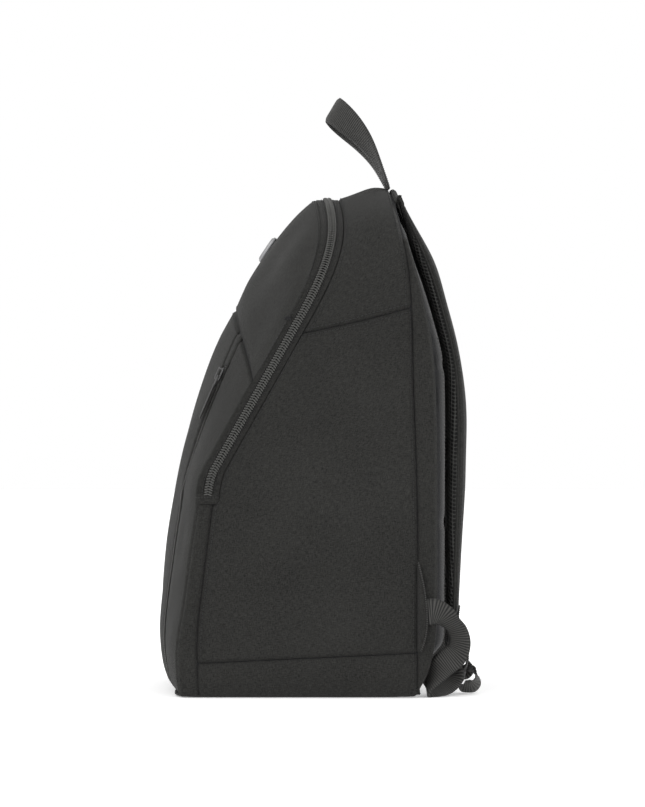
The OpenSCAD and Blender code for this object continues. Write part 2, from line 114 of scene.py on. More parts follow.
# Side-view outlines, front to back, as [height, y, slope].
front_line = cubic([[0, -113, -0.5], [30, -122.5, -0.2], [62, -125.5, 0.03], [125, -118.3, 0.13],
                    [212, -103.6, 0.21], [299, -78.3, 0.37], [364, -46, 0.6], [408, -17.7, 0.78],
                    [440, 13, 1.15]])
pocket_edge = cubic([[0, -106, -0.1], [34, -108, 0], [86, -101, 0.13], [151, -92, 0.16],
                     [175, -88.5, 0.12]])
strip_edge = cubic([[0, -88.5, -0.05], [44, -90, 0], [104, -84.5, 0.12], [170, -76, 0.13]])
zip_line = cubic([[168, -82, 0.2], [200, -74.3, 0.563], [322, -5.6, 0.563], [400, 26.8, 0.14],
                  [440, 23, -0.3]])
rear_seam = cubic([[0, 101, 0.02], [120, 102, 0], [258, 98.6, -0.04], [358, 95.5, -0.08],
                   [449, 76, -0.25]])
back_line = cubic([[0, 96, 1.8], [12, 106, 0.6], [32, 113.8, 0.22], [70, 118.3, 0.03],
                   [140, 118.6, 0], [279, 117, -0.05], [323, 112, -0.2], [376, 99, -0.33],
                   [449, 79, -0.25]])
strap_outer = cubic([[64, 138.5, 0.03], [129, 141, 0.07], [225, 145.5, 0.02], [277, 143.5, -0.12],
                     [340, 130.5, -0.27], [386, 116, -0.46], [431, 92, -0.5], [446, 84, -0.6]])
strap_inner = cubic([[64, 128, 0], [279, 128, -0.02], [336, 116.5, -0.28], [376, 103.8, -0.36],
                     [431, 88.2, -0.25], [446, 84, -0.3]])
strap_centre = cubic([[64, 104, 0], [250, 96, -0.08], [380, 72, -0.26], [431, 62, -0.1]])
strap_half = cubic([[64, 15, 0.9], [98, 33, 0.08], [300, 33, 0], [431, 27, -0.1], [446, 26, 0]])
wing_edge = cubic([[40, 104, 0.45], [60, 109.6, 0.08], [86, 108.6, -0.12], [106, 105.2, -0.24],
                   [120, 101.9, -0.2]])


def mix(a, b, f):
    """a at f = 0, b at f = 1, straight between."""
    return a + (b - a) * f


def smooth(f):
    """0 below 0, 1 above 1, and 3f^2 - 2f^3 between."""
    f = np.clip(f, 0, 1)
    return f * f * (3 - 2 * f)


def eased(place, start, length):
    """0 below `start`, 1 above `start` + `length`, smooth between."""
    return smooth((place - start) / length)


def tucked(z):
    """How far a panel's foot rolls under: 1 at its lowest row, 0 above the tuck's height."""
    return np.clip(1 - (z - CLOTH_FOOT) / TUCK_HEIGHT, 0, 1) ** 2


def level(value):
    """Line that keeps one value, as a function."""
    return lambda place: value + 0 * place


def unit(v):
    """Vectors of length 1 along v."""
    return v / np.maximum(np.linalg.norm(v, axis=-1, keepdims=True), 1e-9)


def half_width(z, top=CROWN_HEIGHT):
    """Half the bag's width at a height: straight sides, then a superellipse corner."""
    z = np.asarray(z, float)
    rise = np.clip((z - SHOULDER_HEIGHT) / (top - SHOULDER_HEIGHT), 0, 1)
    corner = SHOULDER_HALF * (1 - rise**CORNER_POWER) ** (1 / CORNER_POWER)
    return np.where(z <= SHOULDER_HEIGHT, mix(BASE_HALF, SHOULDER_HALF, z / SHOULDER_HEIGHT), corner)


def side_surface(s, y, out=0.0):
    """Point on the sides and top, moved out by `out`.

    s runs from 0 at the right base to 1 over the top and 2 at the left base. The ridge rises with y.
    """
    s, y, out = np.broadcast_arrays(np.asarray(s, float), y, out)
    near = np.minimum(s, 2 - s)
    top = mix(ZIP_TOP_HEIGHT, RIDGE_HEIGHT, eased(y, 34, 34)) + out
    straight = near <= STRAIGHT_SHARE
    z_low = SHOULDER_HEIGHT * near / STRAIGHT_SHARE
    angle = np.clip((near - STRAIGHT_SHARE) / (1 - STRAIGHT_SHARE), 0, 1) * math.pi / 2
    power = 2 / CORNER_POWER
    x_top = (SHOULDER_HALF + out) * np.clip(np.cos(angle), 0, 1) ** power
    z_top = SHOULDER_HEIGHT + (top - SHOULDER_HEIGHT) * np.sin(angle) ** power
    x = np.where(straight, half_width(z_low) + out, x_top) * np.where(s > 1, -1, 1)
    return np.stack([x, y, np.where(straight, z_low, z_top)], -1)


def share_of(z):
    """The s of side_surface at a height on the right side."""
    z = np.asarray(z, float)
    rise = np.clip((z - SHOULDER_HEIGHT) / (ZIP_TOP_HEIGHT - SHOULDER_HEIGHT), 0, 1)
    corner = mix(STRAIGHT_SHARE, 1, np.arcsin(rise ** (CORNER_POWER / 2)) * 2 / math.pi)
    return np.where(z <= SHOULDER_HEIGHT, STRAIGHT_SHARE * z / SHOULDER_HEIGHT, corner)


def height_of(s):
    """The height at s over the front of the top, where the zip runs."""
    return side_surface(s, np.zeros(np.shape(s)))[..., 2]


def front_edge(z):
    """y where the front meets the strip below the fold and the zip's tape above it."""
    z = np.asarray(z, float)
    return mix(pocket_edge(z), zip_line(z) - TAPE_HALF, eased(z, 166, 14))


def before_rear(z):
    """y of the cloth that ends at the rear seam."""
    return rear_seam(z) - SEAM_GAP


def behind_gusset(z):
    """y where the back gusset ends: the back's outline, or just behind the rear seam."""
    return np.maximum(back_line(z), rear_seam(z) + 2.5)


def pocket_seam(r):
    """Height of the pocket's top seam, which drops towards the sides."""
    return POCKET_SEAM_MID - POCKET_SEAM_DROP * np.abs(r) ** 2.5


# ---- Mesh making ----

def spaced(length, step):
    """Shares 0 to 1 of a length: crowded near both ends, about `step` apart between."""
    scale = min(1.0, length / (2.6 * EDGE_REACH))
    near, reach = np.array(EDGE_SHARES) * scale, EDGE_REACH * scale
    middle = np.linspace(reach, length - reach, max(2, int((length - 2 * reach) / step) + 1))
    return np.concatenate([near, middle, length - near[::-1]]) / length


def spread(*axes):
    """Points of a grid from arrays of their x, y and z."""
    return np.stack(np.broadcast_arrays(*axes), -1)


def run_length(points, axis):
    """Distance along a grid's lines from their first point."""
    steps = np.linalg.norm(np.diff(points, axis=axis), axis=-1)
    zero = np.zeros_like(np.take(steps, [0], axis=axis))
    return np.concatenate([zero, np.cumsum(steps, axis=axis)], axis=axis)


def outward(points):
    """Unit normals of a grid whose rows run up and whose columns run anticlockwise seen from above."""
    return -unit(np.cross(np.gradient(points, axis=0), np.gradient(points, axis=1)))


def folds(u, v, seed):
    """Soft folds of unit size: sine waves in seeded directions over the lengths u and v."""
    draw = np.random.default_rng(seed)
    total = np.zeros_like(u)
    for _ in range(FOLD_WAVES):
        angle, phase = draw.uniform(0, math.pi), draw.uniform(0, 2 * math.pi)
        wave = draw.uniform(*FOLD_LENGTHS)
        total += np.sin((u * math.cos(angle) + v * math.sin(angle)) * 2 * math.pi / wave + phase)
    return total / FOLD_WAVES**0.5


def sewn(points, wrinkle, seed, roll=2.0, reach=3.4, puff=0.0, pucker=0.22, edges=(1, 1, 1, 1)):
    """Moves a panel's grid along its normals.

    The edges (foot, head, front, rear) roll in to their seams, the middle puffs, soft folds cross it,
    and short waves pucker it beside the seams.
    """
    u, v = run_length(points, 0), run_length(points, 1)
    gaps = (u, u[-1:] - u, v, v[:, -1:] - v)
    shift = np.zeros_like(u)
    inside = np.ones_like(u)
    for gap, used in zip(gaps, edges):
        shift -= used * roll * (1 - smooth(gap / reach)) ** 1.5
        inside *= smooth(gap / CALM_EDGE)
    size = np.maximum(u[-1:].mean(), 1), np.maximum(v[:, -1:].mean(), 1)
    dome = (1 - (2 * u / u[-1:] - 1) ** 2) * (1 - (2 * v / v[:, -1:] - 1) ** 2)
    shift += puff * np.clip(dome, 0, 1) ** 0.6
    shift += wrinkle * folds(u, v, seed) * inside
    near_ends, near_sides = (np.exp(-np.minimum(*pair) / PUCKER_FADE) for pair in (gaps[:2], gaps[2:]))
    near_sides = near_sides * np.sin(u * 0.62 + 2 * np.sin(u * 0.05))
    near_ends = near_ends * np.sin(v * 0.58 + 2 * np.sin(v * 0.06))
    shift += pucker * (near_sides * min(1, size[0] / 60) + near_ends * min(1, size[1] / 60))
    return points + outward(points) * shift[..., None]


def put_mesh(name, points, faces, materials, uv=None, face_material=None):
    """New object from points in millimetres and a list of faces, with a UV map in metres."""
    mesh = bpy.data.meshes.new(name)
    faces = faces.tolist() if hasattr(faces, "tolist") else faces
    mesh.from_pydata((points * MM).tolist(), [], faces)
    if uv is not None:
        corner = np.zeros(len(mesh.loops), np.int32)
        mesh.loops.foreach_get("vertex_index", corner)
        placed_uv = (uv[corner] * MM).astype(np.float32).ravel()
        mesh.uv_layers.new(name="UVMap").data.foreach_set("uv", placed_uv)
    for material in materials:
        mesh.materials.append(material)
    if face_material is not None:
        mesh.polygons.foreach_set("material_index", np.asarray(face_material, np.int32))
    mesh.polygons.foreach_set("use_smooth", np.ones(len(mesh.polygons), bool))
    mesh.update()
    piece = bpy.data.objects.new(name, mesh)
    bpy.context.scene.collection.objects.link(piece)
    return piece


def grid_ids(rows, cols, start=0):
    """Point numbers of a grid, row by row."""
    return start + np.arange(rows * cols).reshape(rows, cols)


def ring_ids(rows, cols):
    """Point numbers of a grid whose last column joins its first."""
    ids = grid_ids(rows, cols)
    return np.concatenate([ids, ids[:, :1]], 1)


def quads(ids, flip=False):
    """Faces of a grid of point numbers; the normal is columns across rows, or its reverse."""
    a, b, c, d = ids[:-1, :-1], ids[:-1, 1:], ids[1:, 1:], ids[1:, :-1]
    order = (d, c, b, a) if flip else (a, b, c, d)
    return np.stack([part.ravel() for part in order], -1)


def capped(ids, flip=False):
    """Faces of a ring grid with a flat face over each end."""
    first, last = ids[0, :-1].tolist(), ids[-1, :-1].tolist()
    return quads(ids, flip).tolist() + ([first, last[::-1]] if flip else [first[::-1], last])


def flip_x(points):
    """Mirror image of a grid, with its columns reversed so that its faces still point outwards."""
    return (points * np.array([-1.0, 1.0, 1.0]))[:, ::-1]


def both(grid):
    """Each side's name and way, with a right-hand grid as it stands on that side."""
    return [(side, way, grid if way > 0 else flip_x(grid)) for side, way in SIDES]


def shell(name, points, materials, thickness=CLOTH, pick=None):
    """Closed cloth: the grid outside, the same grid set in by the thickness inside, a rim between.

    The inside has the last material. `pick` gives each outer face its material's number.
    """
    rows, cols = points.shape[:2]
    inner = points - outward(points) * thickness
    top, under = grid_ids(rows, cols), grid_ids(rows, cols, rows * cols)
    edge = np.concatenate([top[0, :-1], top[:-1, -1], top[-1, :0:-1], top[:0:-1, 0]])
    below = edge + rows * cols
    rim = np.stack([below, np.roll(below, -1), np.roll(edge, -1), edge], -1)
    faces = np.concatenate([quads(top), quads(under, flip=True), rim])
    u, v = run_length(points, 0), run_length(points, 1)
    uv = np.stack([v, u], -1).reshape(-1, 2)
    outer = (rows - 1) * (cols - 1)
    look = np.zeros(len(faces), int)
    look[outer:2 * outer] = len(materials) - 1
    if pick is not None:
        look[:outer] = pick.ravel()
    piece = put_mesh(name, np.concatenate([points.reshape(-1, 3), inner.reshape(-1, 3)]), faces,
                     materials, np.concatenate([uv, uv]), look)
    return piece


def tube(name, path, radius, material, sides, squash=1.0, side_way=None):
    """Round bar of `sides` sides carried along a path, closed at both ends."""
    path = np.asarray(path, float)
    way = unit(np.gradient(path, axis=0))
    side = side_way if side_way is not None else np.cross(way, [0.0, 0.0, 1.0])
    side = unit(side - way * (side * way).sum(-1, keepdims=True))
    up = np.cross(side, way)
    angle = np.arange(sides) * 2 * math.pi / sides
    radius = np.broadcast_to(np.asarray(radius, float), len(path))[:, None, None]
    ring = side[:, None] * np.cos(angle)[:, None] + up[:, None] * np.sin(angle)[:, None] * squash
    ring = ring * radius
    points = (path[:, None] + ring).reshape(-1, 3)
    faces = capped(ring_ids(len(path), sides), flip=True)
    length = run_length(path[:, None], 0)[:, 0]
    uv = spread(angle[None] * 2, length[:, None]).reshape(-1, 2)
    return put_mesh(name, points, faces, [material], uv)


def through(stations, step):
    """Points `step` apart on the smooth curve (Catmull-Rom) through the stations.

    Each station is a place, and may carry extra columns that are carried along.
    """
    stations = np.asarray(stations, float)
    before, after = 2 * stations[:1] - stations[1:2], 2 * stations[-1:] - stations[-2:-1]
    ends = np.concatenate([before, stations, after])
    fine = []
    for i in range(len(stations) - 1):
        a, b, c, d = ends[i:i + 4]
        f = np.linspace(0, 1, 24, endpoint=False)[:, None]
        fine.append(0.5 * (2 * b + (c - a) * f + (2 * a - 5 * b + 4 * c - d) * f**2
                           + (3 * b - a - 3 * c + d) * f**3))
    fine = np.concatenate(fine + [stations[-1:]])
    length = np.concatenate([[0], np.cumsum(np.linalg.norm(np.diff(fine[:, :3], axis=0), axis=-1))])
    at = np.linspace(0, length[-1], max(2, int(length[-1] / step) + 1))
    return np.stack([np.interp(at, length, column) for column in fine.T], -1)


def ribbon(name, stations, width, thickness):
    """Flat webbing through stations of [x, y, z, width direction]: a rounded section with ribs across.

    What would dip under the floor is pressed flat against it: a height h under 1 mm becomes
    0.2 + 0.8 exp(h - 1).
    """
    rib = bpy.context.scene.skate_bag.rib_pitch / MM
    steps = through(stations, rib / 6)
    path = steps[:, :3]
    way = unit(np.gradient(path, axis=0))
    across = unit(steps[:, 3:] - way * (steps[:, 3:] * way).sum(-1, keepdims=True))
    face = np.cross(way, across)
    length = run_length(path[:, None], 0)[:, 0]
    ribs = RIB_DEPTH * np.cos(length * 2 * math.pi / rib)
    # Section: w across and h out, once round a flat band with half-round edges.
    row = np.linspace(-1, 1, 9)
    w = np.concatenate([row, row[-2:0:-1]])
    h = np.sqrt(1 - w**8) * np.where(np.arange(len(w)) < len(row), 1, -1)
    selvedge = np.abs(w) > 0.95
    high = h[None] * (thickness / 2 + ribs[:, None] * ~selvedge[None])
    w = w * width / 2
    points = path[:, None] + across[:, None] * w[None, :, None] + face[:, None] * high[..., None]
    low = points[..., 2]
    pressed = FLOOR_GAP + (1 - FLOOR_GAP) * np.exp(np.minimum(low - 1.0, 0))
    points[..., 2] = np.where(low < 1.0, pressed, low)
    faces = capped(ring_ids(len(path), len(w)))
    uv = spread(w[None], length[:, None]).reshape(-1, 2)
    piece = put_mesh(name, points.reshape(-1, 3), faces, [finish_of("webbing")], uv)
    return piece


def coil(name, path, side, out, inner, outer, pitch, height, radius):
    """One row of a zip's coil: a flattened helix beside the path.

    It reaches from `inner` to `outer` across and is `height` high.
    """
    fine = through(np.concatenate([path, side, out], 1), pitch / 8)
    path, side, out = fine[:, :3], unit(fine[:, 3:6]), unit(fine[:, 6:9])
    length = run_length(path[:, None], 0)[:, 0]
    turn = length * 2 * math.pi / pitch
    middle, reach = (inner + outer) / 2, (outer - inner) / 2
    line = (path + side * (middle + reach * np.cos(turn))[:, None]
            + out * (height / 2 * (1 + np.sin(turn)))[:, None])
    return tube(name, line, radius, finish_of("coil"), sides=6, side_way=out)


def stitches(name, path, out, length=2.3, gap=1.2):
    """Row of stitches along a path: short threads whose ends dip into the cloth."""
    pitch = length + gap
    fine = through(np.concatenate([path, out], 1), pitch)
    centre, up = fine[:-1, :3] + np.diff(fine[:, :3], axis=0) / 2, unit(fine[:-1, 3:])
    way = unit(np.diff(fine[:, :3], axis=0))
    side = np.cross(way, up)
    along = np.array([-0.5, -0.32, 0.32, 0.5]) * length
    dip = np.array([-0.4, 0.25, 0.25, -0.4]) * STITCH_RADIUS + STITCH_LIFT
    angle = np.arange(6) * math.pi / 3
    along, dip, angle = along[:, None, None], dip[:, None, None], angle[:, None]
    centre, way, up, side = (each[:, None, None] for each in (centre, way, up, side))
    points = (centre + way * along + up * (dip + STITCH_RADIUS * np.sin(angle))
              + side * STITCH_RADIUS * np.cos(angle))
    count = len(centre)
    ids = np.arange(count * 24).reshape(count, 4, 6)
    wrapped = np.concatenate([ids, ids[:, :, :1]], 2)
    a, b, c, d = wrapped[:, :-1, :-1], wrapped[:, :-1, 1:], wrapped[:, 1:, 1:], wrapped[:, 1:, :-1]
    faces = np.stack([part.ravel() for part in (a, b, c, d)], -1).tolist()
    faces += ids[:, 0, ::-1].tolist() + ids[:, -1].tolist()
    return put_mesh(name, points.reshape(-1, 3), faces, [finish_of("thread")])


def move_with(piece, *bodies):
    """Rides on one body; given two, it has its transform baked into its points and rides on neither."""
    if len(bodies) == 1:
        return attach(piece, bodies[0])
    y = float(front_line(FOLD_Z)) * MM
    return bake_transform(piece)


# ---- Materials ----

def node_group(name, inputs, outputs):
    """New shader node group with named sockets; returns it with its input and output nodes."""
    group = bpy.data.node_groups.new(name, "ShaderNodeTree")
    for label, kind, value in inputs:
        socket = group.interface.new_socket(name=label, in_out="INPUT", socket_type=kind)
        if kind == "NodeSocketFloat":
            socket.default_value = value
    for label, kind in outputs:
        group.interface.new_socket(name=label, in_out="OUTPUT", socket_type=kind)
    return group, group.nodes.new("NodeGroupInput"), group.nodes.new("NodeGroupOutput")


def maths(tree, kind, a, b=None, clamp=False):
    """Math node on sockets or numbers; returns its output."""
    node = tree.nodes.new("ShaderNodeMath")
    node.operation = kind
    node.use_clamp = clamp
    for socket, value in zip(node.inputs, (a, b)):
        if value is None:
            continue
        if isinstance(value, (int, float)):
            socket.default_value = value
        else:
            tree.links.new(value, socket)
    return node.outputs[0]


def plus(tree, a, b, clamp=False):
    """Math node that adds."""
    return maths(tree, "ADD", a, b, clamp)


def minus(tree, a, b, clamp=False):
    """Math node that subtracts."""
    return maths(tree, "SUBTRACT", a, b, clamp)


def times(tree, a, b):
    """Math node that multiplies."""
    return maths(tree, "MULTIPLY", a, b)


def weave_group():
    """Plain weave on a UV map in metres: threads over and under each other, with uneven yarn."""
    group, given, made = node_group(
        "Weave", [("Vector", "NodeSocketVector", None), ("Pitch", "NodeSocketFloat", 0.0009)],
        [("Height", "NodeSocketFloat"), ("Tone", "NodeSocketFloat")])
    links = group.links
    split = group.nodes.new("ShaderNodeSeparateXYZ")
    links.new(given.outputs["Vector"], split.inputs[0])
    count = maths(group, "DIVIDE", math.pi, given.outputs["Pitch"])
    across = times(group, split.outputs[0], count)
    along = times(group, split.outputs[1], count)
    yarn_a = maths(group, "ABSOLUTE", maths(group, "SINE", across))
    yarn_b = maths(group, "ABSOLUTE", maths(group, "SINE", along))
    over = times(group, maths(group, "SINE", across), maths(group, "SINE", along))
    pick = maths(group, "GREATER_THAN", over, 0.0)
    keep = minus(group, 1.0, pick)
    height = plus(group, times(group, yarn_a, pick),
                   times(group, yarn_b, keep))
    tones = []
    for slow, fast in ((1500.0, 230.0), (230.0, 1500.0), (900.0, 900.0)):
        stretched = group.nodes.new("ShaderNodeCombineXYZ")
        links.new(times(group, split.outputs[0], slow), stretched.inputs[0])
        links.new(times(group, split.outputs[1], fast), stretched.inputs[1])
        yarn = group.nodes.new("ShaderNodeTexNoise")
        yarn.inputs["Scale"].default_value = 1.0
        yarn.inputs["Detail"].default_value = 2.0
        links.new(stretched.outputs[0], yarn.inputs["Vector"])
        tones.append(yarn.outputs["Fac"])
    total = plus(group, plus(group, *tones[:2]), tones[2])
    slubs = times(group, total, 1 / 3)
    links.new(height, made.inputs["Height"])
    links.new(slubs, made.inputs["Tone"])
    return group


def mottle_group():
    """Slow and fine unevenness of dyed cloth, from 0 to 1 about 0.5."""
    group, given, made = node_group(
        "Mottle", [("Vector", "NodeSocketVector", None), ("Slow", "NodeSocketFloat", 14.0),
                   ("Fine", "NodeSocketFloat", 420.0)], [("Tone", "NodeSocketFloat")])
    tones = []
    for label, detail in (("Slow", 4.0), ("Fine", 2.0)):
        noise = group.nodes.new("ShaderNodeTexNoise")
        noise.inputs["Detail"].default_value = detail
        group.links.new(given.outputs["Vector"], noise.inputs["Vector"])
        group.links.new(given.outputs[label], noise.inputs["Scale"])
        tones.append(noise.outputs["Fac"])
    group.links.new(times(group, plus(group, *tones), 0.5), made.inputs["Tone"])
    return group


def air_mesh_group():
    """Open mesh on a UV map in metres: rows of small holes, each row set half a step from the last."""
    group, given, made = node_group(
        "Air Mesh", [("Vector", "NodeSocketVector", None), ("Pitch", "NodeSocketFloat", 0.004)],
        [("Height", "NodeSocketFloat"), ("Hole", "NodeSocketFloat")])
    split = group.nodes.new("ShaderNodeSeparateXYZ")
    group.links.new(given.outputs["Vector"], split.inputs[0])
    count = maths(group, "DIVIDE", 2 * math.pi, given.outputs["Pitch"])
    u = times(group, split.outputs[0], count)
    v = times(group, split.outputs[1], times(group, count, 0.577))
    product = times(group, maths(group, "COSINE", times(group, u, 0.5)),
                    maths(group, "COSINE", times(group, v, 1.0)))
    depth = times(group, maths(group, "ABSOLUTE", product), 1.6)
    hole = maths(group, "SMOOTH_MIN", depth, 1.0)
    group.links.new(hole, made.inputs["Hole"])
    group.links.new(minus(group, 1.0, hole), made.inputs["Height"])
    return group


GROUPS = {}


def group_node(tree, label, vector, **values):
    """Places a shared node group in a material, built the first time it is asked for."""
    makers = {"Weave": weave_group, "Mottle": mottle_group, "Air Mesh": air_mesh_group}
    if label not in GROUPS:
        GROUPS[label] = makers[label]()
    node = tree.nodes.new("ShaderNodeGroup")
    node.node_tree = GROUPS[label]
    for name, value in values.items():
        node.inputs[name].default_value = value
    tree.links.new(vector, node.inputs["Vector"])
    return node


def base_material(name, roughness, sheen=0.0, coat=0.0, metallic=0.0, specular=0.5):
    """Material with a Principled shader whose constants are set on its own sockets."""
    material = bpy.data.materials.new(name)
    material.use_nodes = True
    tree = material.node_tree
    shader = tree.nodes["Principled BSDF"]
    values = {"Roughness": roughness, "Sheen Weight": sheen, "Sheen Roughness": 0.5,
              "Coat Weight": coat, "Metallic": metallic, "Specular IOR Level": specular}
    for socket, value in values.items():
        shader.inputs[socket].default_value = value
    return material, tree, shader


def toned(tree, factor, colour, share):
    """Colour that runs from `colour` less a share of it to as much more, as the factor goes 0 to 1."""
    ramp = tree.nodes.new("ShaderNodeMix")
    ramp.data_type = "RGBA"
    ramp.inputs["A"].default_value = [c * (1 - share) for c in colour[:3]] + [1]
    ramp.inputs["B"].default_value = [c * (1 + share) for c in colour[:3]] + [1]
    tree.links.new(factor, ramp.inputs["Factor"])
    return ramp.outputs["Result"]


def bump(tree, shader, height, strength, distance):
    """Raises the shader's surface by a height of 0 to 1 over a distance in metres."""
    node = tree.nodes.new("ShaderNodeBump")
    node.inputs["Strength"].default_value = strength
    node.inputs["Distance"].default_value = distance
    tree.links.new(height, node.inputs["Height"])
    tree.links.new(node.outputs[0], shader.inputs["Normal"])


def cloth_material(name, colour, pitch=0.0007, depth=0.0002, roughness=0.85):
    """Woven cloth: weave and yarn unevenness in colour, height and roughness."""
    material, tree, shader = base_material(name, roughness, sheen=0.05, specular=0.2)
    place = tree.nodes.new("ShaderNodeTexCoord")
    weave = group_node(tree, "Weave", place.outputs["UV"], Pitch=pitch)
    mottle = group_node(tree, "Mottle", place.outputs["Object"])
    drift = times(tree, minus(tree, mottle.outputs["Tone"], 0.5), 0.8)
    yarns = times(tree, minus(tree, weave.outputs["Tone"], 0.5), 3.4)
    tone = plus(tree, plus(tree, yarns, drift), 0.5, clamp=True)
    tree.links.new(toned(tree, tone, colour, 0.75), shader.inputs["Base Color"])
    bump(tree, shader, weave.outputs["Height"], 0.7, depth)
    return material


def webbing_material(name, colour):
    """Webbing: fine yarns along its length, and painted shade in the grooves between its ribs."""
    pitch = bpy.context.scene.skate_bag.rib_pitch
    material, tree, shader = base_material(name, 0.6, sheen=0.05, specular=0.35)
    place = tree.nodes.new("ShaderNodeTexCoord")
    split = tree.nodes.new("ShaderNodeSeparateXYZ")
    tree.links.new(place.outputs["UV"], split.inputs[0])
    rib = maths(tree, "COSINE", times(tree, split.outputs[1], 2 * math.pi / pitch))
    yarn = maths(tree, "COSINE", times(tree, split.outputs[0], 2 * math.pi / 0.0009))
    mottle = group_node(tree, "Mottle", place.outputs["Object"], Slow=60.0, Fine=700.0)
    # Painted shade: the colour darkens where the rib wave dips, in the grooves between the ribs.
    tone = plus(tree, times(tree, rib, 0.6), mottle.outputs["Tone"], clamp=True)
    tree.links.new(toned(tree, tone, colour, 0.85), shader.inputs["Base Color"])
    bump(tree, shader, plus(tree, times(tree, yarn, 0.3), rib), 0.8, 0.0004)
    return material


def air_mesh_material(name, colour):
    """Air mesh: holes darkened with painted shade between raised, slightly shiny cells."""
    material, tree, shader = base_material(name, 0.75, specular=0.25)
    place = tree.nodes.new("ShaderNodeTexCoord")
    mesh = group_node(tree, "Air Mesh", place.outputs["UV"])
    mottle = group_node(tree, "Mottle", place.outputs["Object"], Slow=60.0, Fine=900.0)
    cells = plus(tree, mottle.outputs["Tone"], 0.5)
    # Painted shade: the colour is darkened in the holes.
    tone = minus(tree, cells, mesh.outputs["Hole"], clamp=True)
    tree.links.new(toned(tree, tone, colour, 0.95), shader.inputs["Base Color"])
    bump(tree, shader, mesh.outputs["Height"], 0.9, 0.0009)
    return material


def plain_material(name, colour, roughness, metallic=0.0, coat=0.0):
    """Moulded, enamelled or brushed finish: a fine grain in colour, roughness and height."""
    material, tree, shader = base_material(name, roughness, metallic=metallic, coat=coat)
    place = tree.nodes.new("ShaderNodeTexCoord")
    mottle = group_node(tree, "Mottle", place.outputs["Object"], Slow=90.0, Fine=1200.0)
    tree.links.new(toned(tree, mottle.outputs["Tone"], colour, 0.12), shader.inputs["Base Color"])
    rough = plus(tree, times(tree, mottle.outputs["Tone"], 0.2), roughness - 0.1)
    tree.links.new(rough, shader.inputs["Roughness"])
    bump(tree, shader, mottle.outputs["Tone"], 0.25, 0.0001)
    return material


# Each finish: its maker, its material's name, the setting of its colour, and the maker's other values.
FINISH_LIST = {
    "fabric": (cloth_material, "Outer fabric", "fabric_colour", {}),
    "lining": (cloth_material, "Lining fabric", "lining_colour", {"pitch": 0.0006, "roughness": 0.6}),
    "tape": (cloth_material, "Zip tape", "tape_colour", {"pitch": 0.0011, "depth": 0.0003}),
    "webbing": (webbing_material, "Webbing", "webbing_colour", {}),
    "air_mesh": (air_mesh_material, "Air mesh", "mesh_colour", {}),
    "coil": (plain_material, "Zip coil", "coil_colour", {"roughness": 0.38}),
    "thread": (plain_material, "Thread", "thread_colour", {"roughness": 0.6}),
    "enamel": (plain_material, "Slider enamel", "enamel_colour",
               {"roughness": 0.3, "metallic": 0.4, "coat": 0.3}),
    "rubber": (plain_material, "Pull tab", "tab_colour", {"roughness": 0.5}),
    "metal": (plain_material, "Badge metal", "badge_colour", {"roughness": 0.4, "metallic": 1.0}),
    "plastic": (plain_material, "Moulded plastic", "plastic_colour", {"roughness": 0.42}),
}
FINISHES = {}


def finish_of(name):
    """The material of a finish, made once from the settings' colours."""
    if name not in FINISHES:
        maker, label, colour, values = FINISH_LIST[name]
        FINISHES[name] = maker(label, getattr(bpy.context.scene.skate_bag, colour), **values)
    return FINISHES[name]


def colour_setting(label, value, words):
    """Setting of one colour."""
    return bpy.props.FloatVectorProperty(name=label, description=words, default=value, size=3, min=0,
                                         max=1, subtype="COLOR")


def length_setting(label, value, least, most, words):
    """Setting of one length in metres."""
    return bpy.props.FloatProperty(name=label, description=words, default=value, min=least, max=most,
                                   unit="LENGTH")


class SkateBagSettings(bpy.types.PropertyGroup):
    """Sizes and colours of the bag that a user would change."""

    fabric_colour: colour_setting("Fabric", (0.0195, 0.0193, 0.0179), "Outer cloth")
    # The lining colour also paints shade on the flanks of the back panel's channels.
    lining_colour: colour_setting("Lining", (0.014, 0.014, 0.015), "Cloth inside the bag")
    tape_colour: colour_setting("Zip tape", (0.0175, 0.0173, 0.016), "Woven tape of the zips")
    webbing_colour: colour_setting("Webbing", (0.03, 0.0295, 0.0275), "Handle and strap webbing")
    mesh_colour: colour_setting("Air mesh", (0.031, 0.031, 0.0295),
                                "Mesh under the straps and on the back")
    coil_colour: colour_setting("Zip coil", (0.065, 0.065, 0.061), "Teeth of the zips")
    thread_colour: colour_setting("Thread", (0.006, 0.006, 0.006), "Stitching")
    enamel_colour: colour_setting("Sliders", (0.07, 0.07, 0.07), "Enamel of the sliders")
    tab_colour: colour_setting("Pull tabs", (0.03, 0.03, 0.029), "Moulded pull tabs")
    badge_colour: colour_setting("Badge", (0.3, 0.3, 0.305), "Blank metal badge")
    plastic_colour: colour_setting("Buckles", (0.018, 0.018, 0.018), "Moulded buckles and boards")
    step: length_setting("Mesh step", 0.0032, 0.002, 0.01, "Distance between a panel's points")
    wrinkle: length_setting("Folds", 0.0007, 0, 0.003, "Depth of the cloth's soft folds")
    rib_pitch: length_setting("Webbing ribs", 0.0019, 0.001, 0.004,
                              "Distance between the webbing's ribs")
    pad_fill: bpy.props.FloatProperty(name="Fill of the pads", default=0.7, min=0, max=1,
                                      description="How full the strap pads are, from 0 to 1")


# ---- Grids of the shell ----

def side_front(z):
    """Where the side panel starts: at the strip below the zip's end and at the zip's tape above it."""
    return mix(strip_edge(z), zip_line(z) + TAPE_HALF, eased(z, 164, 12))


def wall(foot, head, front, rear, step, out=0.0, tuck=0.0):
    """Grid on the right side.

    Rows rise from foot(f) to head(f), and columns run back from front(z) to rear(z).
    """
    middle = (foot(0.5) + head(0.5)) / 2
    rise = spaced(head(0.5) - foot(0.5), step)[:, None]
    depth = spaced(max(float(rear(middle) - front(middle)), 6.0), step)[None]
    z = mix(foot(depth), head(depth), rise)
    points = side_surface(share_of(z), mix(front(z), rear(z), depth), out)
    points[..., 0] -= tuck * tucked(z)
    return points


